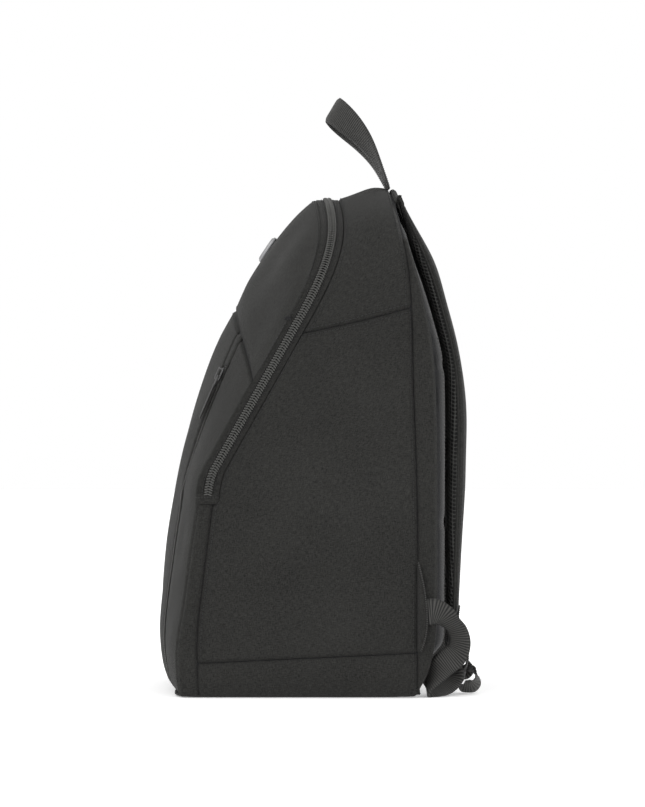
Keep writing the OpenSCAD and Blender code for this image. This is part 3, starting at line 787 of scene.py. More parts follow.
def over_top(foot, front, rear, step, out=0.0):
    """Grid up the right side, over the top and down the left: columns run back."""
    depth = spaced(max(float(rear(400.0) - front(400.0)), 3.0), step)[None]
    start = share_of(foot(depth))
    way_over = spaced(float(2 - 2 * start.mean()) * 530, step)[:, None]
    s = mix(start, 2 - start, way_over)
    z = height_of(s)
    return side_surface(s, mix(front(z), rear(z), depth), out)


def front_points(x, z, tuck=0.0):
    """Points of the front: y runs from the middle outline to the edge as the share of the half-width
    there, raised to the front's power."""
    share = np.clip(np.abs(x) / np.maximum(half_width(z, ZIP_TOP_HEIGHT), 1), 0, 1)
    y = mix(front_line(z), front_edge(z), share**FRONT_POWER) + tuck * tucked(z)
    return spread(x, y, z)


def pocket_head(x):
    """Height of the pocket's top seam at x; it has dropped fully at the pocket's half-width."""
    return pocket_seam(np.abs(x) / POCKET_HALF)


def band_head(f):
    """Height of the seam over the base band: rises towards the back."""
    return mix(30, 39, f)


def yoke_foot(f):
    """Height of the seam under the yoke: rises towards the back."""
    return mix(317, 339, f)


def mesh_sizes(context):
    """The step between a panel's points and the depth of its folds, in millimetres."""
    chosen = context.scene.skate_bag
    return chosen.step / MM, chosen.wrinkle / MM


def edge_stitches(name, grid, body, column=None, row=None, **size):
    """Stitches along one line of a panel's grid, which ride on one body, or have their transform baked
    when given two.
    """
    up = outward(grid)
    line, out = (grid[:, column], up[:, column]) if row is None else (grid[row], up[row])
    return move_with(stitches(name, line, out, **size), *body)


# ---- Camera, stage and the bag's pieces, one operator for each group ----

class SKATEBAG_OT_camera(bpy.types.Operator):
    """Adds the camera, square on to the right side."""

    bl_idname = "skate_bag.camera"
    bl_label = "Camera"

    def execute(self, context):
        data = bpy.data.cameras.new("Side camera")
        data.lens = 197.2
        data.sensor_width = 36.0
        data.clip_start, data.clip_end = 0.1, 60.0
        camera = bpy.data.objects.new("Side camera", data)
        camera.location = (4.0, 0.019, 0.256)
        camera.rotation_euler = (math.radians(90), 0, math.radians(90))
        context.scene.collection.objects.link(camera)
        context.scene.camera = camera
        return {"FINISHED"}


class SKATEBAG_OT_stage(bpy.types.Operator):
    """Adds a plain pale floor, a white surround and soft lamps."""

    bl_idname = "skate_bag.stage"
    bl_label = "Stage"

    def execute(self, context):
        material, _, shader = base_material("Stage floor", 0.9, specular=0.1)
        shader.inputs["Base Color"].default_value = (0.94, 0.94, 0.94, 1)
        shader.inputs["Emission Color"].default_value = (1, 1, 1, 1)
        shader.inputs["Emission Strength"].default_value = 0.3
        u = np.linspace(-9, 9, 13) / MM
        points = spread(u[:, None], u[None], 0.0)
        faces = quads(grid_ids(len(u), len(u)))
        put_mesh("Stage_Floor", points.reshape(-1, 3), faces, [material])
        world = bpy.data.worlds.new("Studio")
        world.use_nodes = True
        light = world.node_tree.nodes["Background"].inputs
        light["Color"].default_value = (1, 1, 1, 1)
        light["Strength"].default_value = 1.0
        context.scene.world = world
        lamps = (("Key", (1.6, -1.7, 2.2), 1.6, 22), ("Fill", (2.4, 1.6, 1.1), 1.8, 8),
                 ("Back", (-1.6, 1.9, 1.8), 1.6, 14))
        for name, place, size, watts in lamps:
            data = bpy.data.lights.new(name, "AREA")
            data.size, data.energy = size, watts
            lamp = bpy.data.objects.new(name, data)
            lamp.location = place
            aim = np.array([0, 0, 0.22]) - place
            lamp.rotation_euler = (math.pi - math.acos(aim[2] / np.linalg.norm(aim)), 0,
                                   math.atan2(aim[1], aim[0]) - math.pi / 2)
            context.scene.collection.objects.link(lamp)
        context.scene.view_settings.view_transform = "Standard"
        return {"FINISHED"}


class SKATEBAG_OT_sides(bpy.types.Operator):
    """Side panels, base bands, front strips, gussets and the yoke over the top."""

    bl_idname = "skate_bag.sides"
    bl_label = "Sides and yoke"

    def execute(self, context):
        step, soft = mesh_sizes(context)
        cloth = [finish_of("fabric"), finish_of("lining")]
        open_foot = {"edges": (0, 1, 1, 1)}
        walls = {
            "side_panel": (
                wall(lambda f: band_head(f) + SEAM_GAP, lambda f: yoke_foot(f) - SEAM_GAP, side_front,
                     before_rear, step),
                dict(puff=3.0, wrinkle=soft * 1.5, seed=11)),
            "base_band": (
                wall(level(CLOTH_FOOT), lambda f: band_head(f) - SEAM_GAP, strip_edge, before_rear,
                     step, tuck=TUCK),
                dict(puff=0.8, wrinkle=soft * 0.8, seed=12, **open_foot)),
            "front_strip": (
                wall(level(CLOTH_FOOT), level(169.5), pocket_edge,
                     lambda z: strip_edge(z) - SEAM_GAP, step, tuck=TUCK),
                dict(puff=1.2, wrinkle=soft * 0.5, seed=13, **open_foot)),
            "back_gusset": (
                wall(level(CLOTH_FOOT), level(398.0), lambda z: rear_seam(z) + SEAM_GAP, behind_gusset,
                     step, tuck=TUCK),
                dict(puff=1.0, wrinkle=soft * 0.5, seed=14, **open_foot)),
        }
        for name, (flat, how) in walls.items():
            grid = sewn(flat, **how)
            for side, way, points in both(grid):
                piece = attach(shell(f"{name}_{side}".title(), points, cloth), BODY)
                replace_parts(piece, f"{name}_{side}")
            if name in ("side_panel", "base_band"):
                for side, way, points in both(grid):
                    rear = LAST_LINE if way > 0 else FIRST_LINE
                    edge_stitches(f"Stitch_{name}_rear_{side}", points, [BODY], column=rear)
            if name == "side_panel":
                for side, way, points in both(grid):
                    front = FIRST_LINE if way > 0 else LAST_LINE
                    edge_stitches(f"Stitch_{name}_zip_{side}", points, [BODY], column=front)
                    edge_stitches(f"Stitch_{name}_head_{side}", points, [BODY], row=LAST_LINE)
        flat = over_top(lambda f: yoke_foot(f) + SEAM_GAP, lambda z: zip_line(z) + TAPE_HALF + SEAM_GAP,
                        before_rear, step)
        grid = sewn(flat, puff=2.2, wrinkle=soft, seed=15)
        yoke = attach(shell("Top_Yoke", grid, cloth), BODY)
        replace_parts(yoke, "top_yoke")
        edge_stitches("Stitch_yoke_zip", grid, [BODY], column=FIRST_LINE)
        edge_stitches("Stitch_yoke_rear", grid, [BODY], column=LAST_LINE)
        edge_stitches("Stitch_yoke_foot_right", grid, [BODY], row=FIRST_LINE)
        edge_stitches("Stitch_yoke_foot_left", grid, [BODY], row=LAST_LINE)
        return {"FINISHED"}


class SKATEBAG_OT_front(bpy.types.Operator):
    """Front pocket, which runs over the fold, and the flap's panel above it."""

    bl_idname = "skate_bag.front"
    bl_label = "Front pocket and flap"

    def execute(self, context):
        step, soft = mesh_sizes(context)
        cloth = [finish_of("fabric"), finish_of("lining")]
        rise = spaced(300.0, step)[:, None]
        # Middle of the pocket, between its two zips.
        x = (POCKET_ZIP_X - POCKET_TAPE_HALF) * (2 * spaced(189.0, step)[None] - 1)
        flat = front_points(x, mix(CLOTH_FOOT, pocket_head(x) - 0.3, rise), tuck=TUCK)
        grid = sewn(flat, puff=3.0, wrinkle=soft * 1.6, seed=21, edges=(0, 1, 1, 1))
        middle = shell("Pocket_Panel", grid, cloth)
        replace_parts(middle, "pocket_panel_lower", "pocket_panel_upper")
        move_with(middle, BODY, FLAP)
        edge_stitches("Stitch_pocket_head", grid, [FLAP], row=LAST_LINE)
        # Sides of the pocket, from its zips to the corners of the bag.
        share = spaced(50.0, step)[None]
        inner = POCKET_ZIP_X + POCKET_TAPE_HALF
        head = pocket_head(mix(inner, POCKET_HALF, share)) - 0.3
        z = mix(CLOTH_FOOT, head, rise)
        flat = front_points(mix(inner, half_width(z), share), z, tuck=TUCK)
        flat[..., 0] -= TUCK * share**2 * tucked(z)
        grid = sewn(flat, puff=1.6, wrinkle=soft, seed=22, edges=(0, 1, 1, 1))
        for side, _, points in both(grid):
            piece = shell(f"Pocket_Side_{side}", points, cloth)
            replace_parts(piece, f"pocket_side_lower_{side}", f"pocket_side_upper_{side}")
            move_with(piece, BODY, FLAP)
        # Flap panel: from the pocket's seam up to the zip's tape, whose edge is a superellipse.
        across = np.sin((2 * spaced(330.0, step)[None] - 1) * math.pi / 2)
        foot = pocket_seam(across) + 0.3
        corner = (1 - np.abs(across) ** CORNER_POWER) ** (1 / CORNER_POWER)
        head = SHOULDER_HEIGHT + (ZIP_TOP_HEIGHT - SHOULDER_HEIGHT) * corner
        z = mix(foot, head, spaced(130.0, step)[:, None])
        flat = front_points(across * half_width(np.minimum(z, SHOULDER_HEIGHT)), z)
        grid = sewn(flat, puff=2.0, wrinkle=soft * 1.4, seed=23)
        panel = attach(shell("Flap_Panel", grid, cloth), FLAP)
        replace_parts(panel, "upper_front_panel")
        edge_stitches("Stitch_flap_foot", grid, [FLAP], row=FIRST_LINE)
        edge_stitches("Stitch_flap_head", grid, [FLAP], row=LAST_LINE)
        edge_stitches("Stitch_flap_right", grid, [FLAP], column=LAST_LINE)
        edge_stitches("Stitch_flap_left", grid, [FLAP], column=FIRST_LINE)
        return {"FINISHED"}


def beside_zip(offset, out):
    """Line beside the main zip: its points, the way across the cloth to the back, and the way out."""
    s = np.linspace(share_of(ZIP_FOOT), 2 - share_of(ZIP_FOOT), 500)[:, None]
    y = zip_line(height_of(s)) + offset + np.array([[-0.5, 0, 0.5]])
    strip = side_surface(s, y, out)
    way = unit(np.gradient(strip[:, 1], axis=0))
    side = strip[:, 2] - strip[:, 0]
    side = unit(side - way * (side * way).sum(-1, keepdims=True))
    return strip[:, 1], side, np.cross(way, -side)


class SKATEBAG_OT_main_zip(bpy.types.Operator):
    """Main zip: two woven tapes, two rows of coil that lock, and a stitched patch over each end."""

    bl_idname = "skate_bag.main_zip"
    bl_label = "Main zip"

    def execute(self, context):
        tape = [finish_of("tape")]
        halves = (("Flap", -1, FLAP, "flap_zip_tape", "flap_zip_coil"),
                  ("Bag", 1, BODY, "bag_zip_tape", "bag_zip_coil"))
        for name, way, body, tape_node, coil_node in halves:
            near, far = sorted((way * 0.7, way * (TAPE_HALF + 0.2)))
            grid = over_top(level(ZIP_FOOT), lambda z: zip_line(z) + near, lambda z: zip_line(z) + far,
                            2.6, out=-0.5)
            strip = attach(shell(f"{name}_Zip_Tape", grid, tape, thickness=1.1), body)
            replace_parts(strip, tape_node)
            path, side, out = beside_zip(0.0, -0.45)
            row = coil(f"{name}_Zip_Coil", path, side * way, out, inner=-0.1, outer=3.3, pitch=2.3,
                       height=1.6, radius=0.52)
            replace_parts(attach(row, body), coil_node)
            line, _, up = beside_zip(way * 5.2, -0.45)
            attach(stitches(f"{name}_Zip_Stitch", line, up, length=1.9, gap=0.7), body)
        # Patches over the ends.
        flat = wall(level(168.5), level(177.5), level(-91.5), level(-70.5), 2.0, out=0.9)
        grid = sewn(flat, puff=0.8, wrinkle=0, roll=1.2, seed=31)
        made = []
        for side, _, points in both(grid):
            made.append(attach(shell(f"Zip_End_{side}", points, [finish_of("fabric")], thickness=1.2),
                                BODY))
            edge_stitches(f"Stitch_zip_end_{side}", points, [BODY], row=len(grid) // 2, length=1.6,
                          gap=0.7)
        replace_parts(made[0], "zip_end_patches")
        return {"FINISHED"}


def pocket_zip_y(z):
    """y of a pocket zip: an arc in an upright plane above the fold, the front's surface below it."""
    arc = POCKET_ARC_Y - np.sqrt(POCKET_ARC_RADIUS**2 - (np.asarray(z, float) - POCKET_ARC_Z) ** 2)
    return mix(front_points(POCKET_ZIP_X, z)[..., 1], arc, eased(z, 160, 26))


class SKATEBAG_OT_pocket_zips(bpy.types.Operator):
    """Pocket zips: tapes, locked rows of coil, and a welt above and below each."""

    bl_idname = "skate_bag.pocket_zips"
    bl_label = "Pocket zips"

    def execute(self, context):
        tape, cloth = [finish_of("tape")], [finish_of("fabric")]
        z = np.linspace(24.0, 292.0, 110)[:, None]
        reach = POCKET_TAPE_HALF + 1.6
        for side, way in SIDES:
            made = []
            for edge, shift, across in (("inner", -1, (-reach, -0.5)), ("outer", 1, (0.5, reach))):
                x = POCKET_ZIP_X + np.linspace(*across, 4)[None]
                flat = spread(x, pocket_zip_y(z) + 0.7, z)
                points = flat if way > 0 else flip_x(flat)
                made.append(shell(f"Pocket_Zip_Tape_{edge}_{side}", points, tape, thickness=1.0))
                line = np.stack([np.full(len(z), POCKET_ZIP_X * way), pocket_zip_y(z[:, 0]) + 0.5,
                                 z[:, 0]], -1)
                beside = np.tile([float(way * shift), 0, 0], (len(z), 1))
                out = np.cross(unit(np.gradient(line, axis=0)), [1.0, 0, 0])
                out *= np.where(out[:, 1:2] > 0, -1, 1)
                row = coil(f"Pocket_Zip_Coil_{edge}_{side}", line, beside, out, inner=-0.4, outer=2.5,
                           pitch=1.6, height=1.2, radius=0.42)
                move_with(row, BODY, FLAP)
            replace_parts(made[0], f"pocket_zip_{side}", f"pocket_zip_lower_{side}")
            for strip in made:
                move_with(strip, BODY, FLAP)
            # Welts that close the slot above and below the zip, each with a row of stitches.
            for place, low, high, bodies, row in (
                    ("top", 287.0, 318.5, [FLAP], FIRST_LINE),
                    ("foot", CLOTH_FOOT, 30.0, [BODY], LAST_LINE)):
                x = POCKET_ZIP_X + np.linspace(-6.2, 6.2, 9)[None]
                rise = spaced(high - low, 2.0)[:, None] * (high - low) + low
                flat = front_points(x, rise, tuck=TUCK) + np.array([0, -0.1, 0])
                grid = sewn(flat, roll=1.3, puff=0.5, wrinkle=0.1, pucker=0.1, seed=41)
                points = grid if way > 0 else flip_x(grid)
                move_with(shell(f"Pocket_Welt_{place}_{side}", points, cloth, thickness=1.2), *bodies)
                edge_stitches(f"Stitch_welt_{place}_{side}", points, bodies, row=row, length=1.6,
                              gap=0.7)
        return {"FINISHED"}


def rounded(half, power=0.35, sides=20, rings=12):
    """Superellipsoid of half sizes `half`: cos and sin raised to `power`, boxier when it is low."""
    def curve(values):
        return np.sign(values) * np.abs(values) ** power

    v = np.linspace(-math.pi / 2, math.pi / 2, rings + 1)[1:-1, None]
    u = np.linspace(0, 2 * math.pi, sides, endpoint=False)[None]
    belt = curve(np.cos(v))
    ring = spread(belt * curve(np.cos(u)), belt * curve(np.sin(u)), curve(np.sin(v))) * np.array(half)
    points = np.concatenate([ring.reshape(-1, 3), [[0, 0, -half[2]], [0, 0, half[2]]]])
    ids = ring_ids(rings - 1, sides)
    bottom, top = len(points) - 2, len(points) - 1
    faces = quads(ids).tolist()
    faces += [[bottom, b, a] for a, b in zip(ids[0, :-1].tolist(), ids[0, 1:].tolist())]
    faces += [[top, a, b] for a, b in zip(ids[-1, :-1].tolist(), ids[-1, 1:].tolist())]
    return points, faces


def gathered(parts):
    """One mesh's points and faces from several."""
    points, faces, start = [], [], 0
    for some, ids in parts:
        points.append(some)
        faces += [[i + start for i in face] for face in ids]
        start += len(some)
    return np.concatenate(points), faces


def moved(part, shift):
    """A part's points and faces, shifted."""
    return part[0] + np.array(shift, float), part[1]


def placed(points, origin, way, out):
    """Points of a local frame whose x runs along `way` and z along `out`, in the bag's axes."""
    x = unit(np.array(way, float))
    y = unit(np.cross(out, x))
    return points @ np.stack([x, y, np.cross(x, y)]) + np.array(origin, float)


def rod(radius, length, axis):
    """Round bar about x or y, with its rim taken off."""
    sides, rounding = 12, 0.25
    t = np.array([-0.5, -0.5, 0.5, 0.5]) * length + np.array([0, 1, -1, 0]) * rounding
    r = np.array([radius - rounding, radius, radius, radius - rounding])
    angle = np.arange(sides) * 2 * math.pi / sides
    ring = spread(r[:, None] * np.cos(angle), r[:, None] * np.sin(angle), t[:, None])
    order = {"x": [2, 0, 1], "y": [1, 2, 0]}[axis]
    return ring.reshape(-1, 3)[:, order], capped(ring_ids(len(t), sides))


def slider_parts(width):
    """Two plates, the wedge between them and the bridge over the pull's pin."""
    length = 13.0
    parts = [moved(rounded((length / 2, width / 2, 0.75), 0.45), (0, 0, z)) for z in (1.95, -2.9)]
    parts.append(moved(rounded((2.4, 0.25, 2.4)), (4.0, 0, -0.5)))
    for x in (-5.0, 4.5):
        parts.append(moved(rounded((0.75, 1.2, 1.9)), (x, 0, 4.0)))
    parts.append(moved(rounded((5.5, 1.25, 0.55)), (-0.2, 0, 5.8)))
    return gathered(parts)


def puller_parts(width):
    """Pin, two short links and a moulded tab with a raised rim and a grip of ribs."""
    pin = (-2.6, 4.1)
    links = [moved(rod(0.8, 6.4, "y"), (pin[0], 0, pin[1]))]
    links += [moved(rounded((4.7, 0.65, 0.75)), (pin[0] - 4.5, y, pin[1])) for y in (-2.6, 2.6)]
    middle, half = pin[0] - 24.8, 16.4
    tab = [moved(rounded((half, width / 2, 0.85), 0.5, 32, 14), (middle, 0, pin[1]))]
    tab += [moved(rounded((0.7, width / 2 - 1.8, 1.15), 0.6, 12, 6), (middle + x, 0, pin[1]))
            for x in np.arange(-10.4, 9.0, 2.6)]
    tab.append(moved(rounded((1.8, 3.6, 1.3), 0.5), (pin[0] - 9.0, 0, pin[1])))
    return gathered(links), gathered(tab)


def slider_frames():
    """Where each slider stands: its name, point, way along the zip, way out and width."""
    def on_side(z):
        return np.array([-float(half_width(z)), float(zip_line(z)), z])

    lean = (BASE_HALF - SHOULDER_HALF) / SHOULDER_HEIGHT
    frames = [("main", on_side(MAIN_SLIDER_Z), on_side(320.0) - on_side(202.0), (-1, 0, lean), 10.0)]
    y = float(POCKET_ARC_Y - math.sqrt(POCKET_ARC_RADIUS**2 - (POCKET_SLIDER_Z - POCKET_ARC_Z) ** 2))
    out = np.array([0, y - POCKET_ARC_Y, POCKET_SLIDER_Z - POCKET_ARC_Z])
    for side, way in SIDES:
        frames.append((f"pocket_{side}", (way * POCKET_ZIP_X, y, POCKET_SLIDER_Z),
                       (0, out[2], -out[1]), out, 8.0))
    return frames


class SKATEBAG_OT_sliders(bpy.types.Operator):
    """Enamelled sliders and moulded pull tabs of the three zips."""

    bl_idname = "skate_bag.sliders"
    bl_label = "Sliders and pull tabs"

    def execute(self, context):
        enamel, rubber = finish_of("enamel"), finish_of("rubber")
        for name, origin, way, out, width in slider_frames():
            first, _, side = name.partition("_")
            end = f"_{side}" if side else ""
            points, faces = slider_parts(width)
            body = put_mesh(f"{name}_slider_body", placed(points, origin, way, out), faces,
                            [enamel])
            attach(body, f"{first}_slider{end}")
            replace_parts(body, f"{first}_slider{end}")
            links, tab = puller_parts(9.0)
            link = put_mesh(f"{name}_pull_link", placed(links[0], origin, way, out), links[1],
                            [enamel])
            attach(link, f"{first}_puller{end}")
            grip = put_mesh(f"{name}_pull_tab", placed(tab[0], origin, way, out), tab[1], [rubber])
            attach(grip, f"{first}_puller{end}")
            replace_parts(grip, f"{first}_puller{end}")
        return {"FINISHED"}


class SKATEBAG_OT_badge(bpy.types.Operator):
    """Blank lens-shaped metal badge on the flap."""

    bl_idname = "skate_bag.badge"
    bl_label = "Badge"

    def execute(self, context):
        z = 395.0
        slope = float(front_line(z + 5) - front_line(z - 5)) / 10
        origin = (0, float(front_line(z)) - 3.4, z)
        plate = rounded((13.0, 7.0, 2.4), 0.6, 48, 18)
        rim = moved(rounded((11.4, 5.6, 1.0), 0.6, 48, 14), (0, 0, 1.9))
        points, faces = gathered([plate, rim])
        badge = put_mesh("Badge", placed(points, origin, (0, slope, 1), (0, -1, slope)), faces,
                         [finish_of("metal")])
        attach(badge, FLAP)
        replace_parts(badge, "badge_plate")
        return {"FINISHED"}


class SKATEBAG_OT_handle(bpy.types.Operator):
    """Haul loop of webbing that turns edge-on as it rises, and the strip sewn behind its feet."""

    bl_idname = "skate_bag.handle"
    bl_label = "Haul handle"

    def execute(self, context):
        foot, lean = np.array([0, 78, 450.5]), np.array([0, -0.575, 0.818])
        width_at_top = np.array([0, 0.51, 0.86])
        angle = np.linspace(0, math.pi, 49)[:, None]
        rise = np.sin(angle).clip(0) ** 0.62
        turn = rise**1.25 * math.pi / 2
        x = 38 * np.sign(np.cos(angle)) * np.abs(np.cos(angle)) ** 0.8
        bow = np.array([[0, 5.0, 3.5]]) * np.sin(math.pi * rise)
        path = foot + x * np.array([[1, 0, 0]]) + lean * 87 * rise + bow
        across = unit(np.cos(turn) * np.array([[1.0, 0, 0]]) + np.sin(turn) * width_at_top)
        stations = np.concatenate([path, across], 1)
        sunk = np.array([[0, -1.0, -2.2, 0, 0, 0]])
        stations = np.concatenate([stations[:1] + sunk, stations, stations[-1:] + sunk])
        loop = ribbon("Haul_Handle", stations, WEBBING_WIDTH, 2.2)
        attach(loop, "handle")
        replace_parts(loop, "haul_handle")
        # Reinforcing strip that the handle and the straps are sewn under.
        grid = over_top(level(428.0), lambda z: rear_seam(z) + 1.2, lambda z: rear_seam(z) + 6.4, 2.4,
                        out=-0.3)
        grid = sewn(grid, puff=0.6, wrinkle=0.1, roll=1.0, seed=51)
        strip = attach(shell("Strap_Yoke", grid, [finish_of("fabric")], thickness=2.0), BODY)
        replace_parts(strip, "strap_yoke")
        return {"FINISHED"}


def strap_mid(z):
    """Depth of the seam between a strap's mesh and its fabric."""
    return mix(strap_inner(z), strap_outer(z), 0.55)


def strap_ring(z, angle):
    """Points round a strap at a height.

    Half-width and half-thickness follow |cos|^0.5 and |sin|^0.7 of the angle, less at the foot.
    """
    foot = eased(z, STRAP_FOOT, 14)
    half = strap_half(z) * mix(0.8, 1, foot)
    middle = strap_mid(z)
    thick = np.where(np.sin(angle) >= 0, strap_outer(z) - middle, middle - strap_inner(z))
    thick = thick * mix(0.35, 1, foot)
    lateral, depth = np.cos(angle), np.sin(angle)
    x = strap_centre(z) + half * np.sign(lateral) * np.abs(lateral) ** 0.5
    y = middle + thick * np.sign(depth) * np.abs(depth) ** 0.7
    return spread(x, y, z)


# The tail's places as [y, z, tilt of its width]: up through the buckle, over its middle bar and
# down to a curl.
TAIL_ROUTE = ((134.6, 26, 0), (133.4, 38, 0), (134.4, 46.5, 0), (137.6, 49.8, 0), (141, 47.5, 0),
              (144.6, 44, 0), (146.6, 38, 0), (146.8, 30, 0.05), (143.8, 20.5, 0.2),
              (140.8, 12.6, 0.36), (141.2, 8, 0.44), (145, 6.6, 0.46), (150.4, 7, 0.46),
              (154.2, 10.4, 0.46), (154.8, 15.2, 0.46), (152.4, 20.4, 0.44), (148.4, 23.6, 0.4))
# The loop that holds the buckle's top bar, as [y, z].
LOOP_ROUTE = ((134.5, 78), (133.6, 70), (133.2, 60), (136.0, 54.6), (139.2, 58), (138.4, 68),
              (139.4, 78))


class SKATEBAG_OT_straps(bpy.types.Operator):
    """Padded shoulder straps: cloth outside, air mesh inside, a bound edge between, and the tail."""

    bl_idname = "skate_bag.straps"
    bl_label = "Shoulder straps"

    def execute(self, context):
        z = STRAP_FOOT + spaced(STRAP_LENGTH, 3.2)[:, None] * STRAP_LENGTH
        for name, node, angles, finish, slot, seed in (
                ("Strap_Pad", "strap_pad", (0.0, math.pi), "fabric", "shell_fabric", 61),
                ("Strap_Mesh", "strap_mesh", (math.pi, 2 * math.pi), "air_mesh", "air_mesh", 62)):
            angle = np.linspace(*angles, 34)[None]
            grid = sewn(strap_ring(z, angle), roll=0.8, reach=2.5, wrinkle=0.45, pucker=0.15, seed=seed)
            # Cloth covers the head of the strap on both faces, down to a curved seam.
            over = grid[:-1, :-1, 2] > 386 + 16 * np.abs(np.cos(angle[:, :-1]))
            for side, way, points in both(grid):
                covered = (over if way > 0 else over[:, ::-1]).astype(int)
                piece = shell(f"{name}_{side}", points, [finish_of(finish), finish_of("fabric")],
                              thickness=2.0, pick=covered)
                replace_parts(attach(piece, f"strap_{side}"), f"{node}_{side}")
            if node == "strap_pad":
                for side, _, points in both(grid):
                    for column in (5, -6):
                        edge_stitches(f"Stitch_strap_{side}_{abs(column)}", points, [f"strap_{side}"],
                                      column=column)
        for side, way in SIDES:
            edge_z = np.concatenate([np.linspace(438, 65, 130), np.linspace(65, 438, 130)])
            edge_angle = np.concatenate([np.zeros(130), np.full(130, math.pi)])
            path = strap_ring(edge_z, edge_angle) * np.array([way, 1, 1])
            bind = tube(f"Strap_Binding_{side}", through(path, 2.0), 1.0, finish_of("fabric"), sides=8,
                        squash=0.8, side_way=np.array([0.0, 1.0, 0.0]))
            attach(bind, f"strap_{side}")
            stations = [[BUCKLE_X * way, y, height, 1 - 0.5 * tilt, -0.4 * tilt * way, tilt * way]
                        for y, height, tilt in TAIL_ROUTE]
            tail = ribbon(f"Strap_Tail_{side}", stations, WEBBING_WIDTH, 1.8)
            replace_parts(tail, f"strap_tail_{side}")
            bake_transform(tail)
            stations = [[BUCKLE_X * way, y, height, 1, 0, 0] for y, height in LOOP_ROUTE]
            loop = ribbon(f"Buckle_Loop_{side}", stations, WEBBING_WIDTH, 1.6)
            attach(loop, f"strap_{side}")
        return {"FINISHED"}


class SKATEBAG_OT_buckles(bpy.types.Operator):
    """Moulded ladder-lock buckles: two rails and three bars."""

    bl_idname = "skate_bag.buckles"
    bl_label = "Buckles"

    def execute(self, context):
        for side, way in SIDES:
            parts = [moved(rounded((1.7, 2.3, 12.4), 0.3, 16, 12), (x, 2, -12)) for x in (-15.0, 15.0)]
            parts += [moved(rod(1.5, 30.0, "x"), (0, 2, z)) for z in (-1.5, -12.0, -22.5)]
            points, faces = gathered(parts)
            piece = put_mesh(f"Buckle_{side.title()}", points + np.array([BUCKLE_X * way, 135.0, 58.0]),
                             faces, [finish_of("plastic")])
            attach(piece, f"buckle_{side}")
            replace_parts(piece, f"buckle_{side}")
        return {"FINISHED"}


# Stations of the lower webbing: its centre and the way of its width.
LOWER_ROUTE = np.array([
    [159.6, 104.5, 75, 0, 0, 1], [160.4, 110.8, 75, 0, 0.04, 1],
    [161.8, 116.6, 75.1, 0.12, 0.22, 0.95], [162.4, 124.4, 71.8, 0.5, 0.42, 0.76],
    [160.4, 130.5, 65.9, 0.7, 0.6, 0.4], [158.5, 135.8, 59.5, 0.66, 0.73, 0.19],
    [157, 138.5, 50.2, 0.61, 0.79, -0.08], [155.5, 137, 41.2, 0.5, 0.72, -0.47],
    [154.5, 132.2, 35.2, 0.3, 0.71, -0.65], [153, 123, 27.6, 0.35, 0.62, -0.68],
    [150.5, 115.6, 17.6, 0.72, 0.4, -0.52], [147.2, 110.6, 8.8, 0.9, 0.1, -0.4],
    [143.5, 111.6, 6.6, 0.88, 0, -0.46], [137, 117, 7.4, 0.84, 0, -0.54],
    [128, 125, 10, 0.8, 0, -0.6], [119, 131.4, 14.6, 0.84, 0, -0.54],
    [111, 134.6, 20.4, 0.94, 0, -0.34], [106, 135, 25.4, 1, 0, -0.1],
    [104.5, 134.8, 28.5, 1, 0, 0]])


class SKATEBAG_OT_lower_webbing(bpy.types.Operator):
    """Wing tabs at the foot of the rear seam, and the webbing from them to the buckles."""

    bl_idname = "skate_bag.lower_webbing"
    bl_label = "Wing tabs and lower webbing"

    def execute(self, context):
        foot, length, seam = 40, 80.0, 101.2
        z = foot + spaced(length, 2.2)[:, None] * length
        y = mix(seam, wing_edge(z), np.linspace(0, 1, 9)[None])
        for layer, lift in (("inner", 1.6), ("outer", 5.2)):
            flat = side_surface(share_of(z), y, out=-0.6 + lift * eased(y, seam, 5))
            grid = sewn(flat, roll=0.7, reach=2.0, puff=0.5, wrinkle=0.1, pucker=0.1, seed=71)
            for side, _, points in both(grid):
                piece = shell(f"Wing_Tab_{layer}_{side}", points, [finish_of("fabric")], thickness=1.0)
                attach(piece, BODY)
                if layer == "outer":
                    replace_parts(piece, f"wing_tab_{side}")
        for side, way in SIDES:
            rim_z = np.linspace(foot + 1, foot + length - 2, 50)
            path = side_surface(share_of(rim_z), wing_edge(rim_z), out=4.3) * np.array([way, 1, 1])
            rim = tube(f"Wing_Edge_{side}", path, 0.7, finish_of("webbing"), sides=8)
            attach(rim, BODY)
            route = LOWER_ROUTE * np.array([way, 1, 1, way, 1, 1])
            loop = ribbon(f"Lower_Webbing_{side}", route, 23.0, 1.8)
            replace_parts(loop, f"lower_webbing_{side}")
            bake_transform(loop)
        return {"FINISHED"}


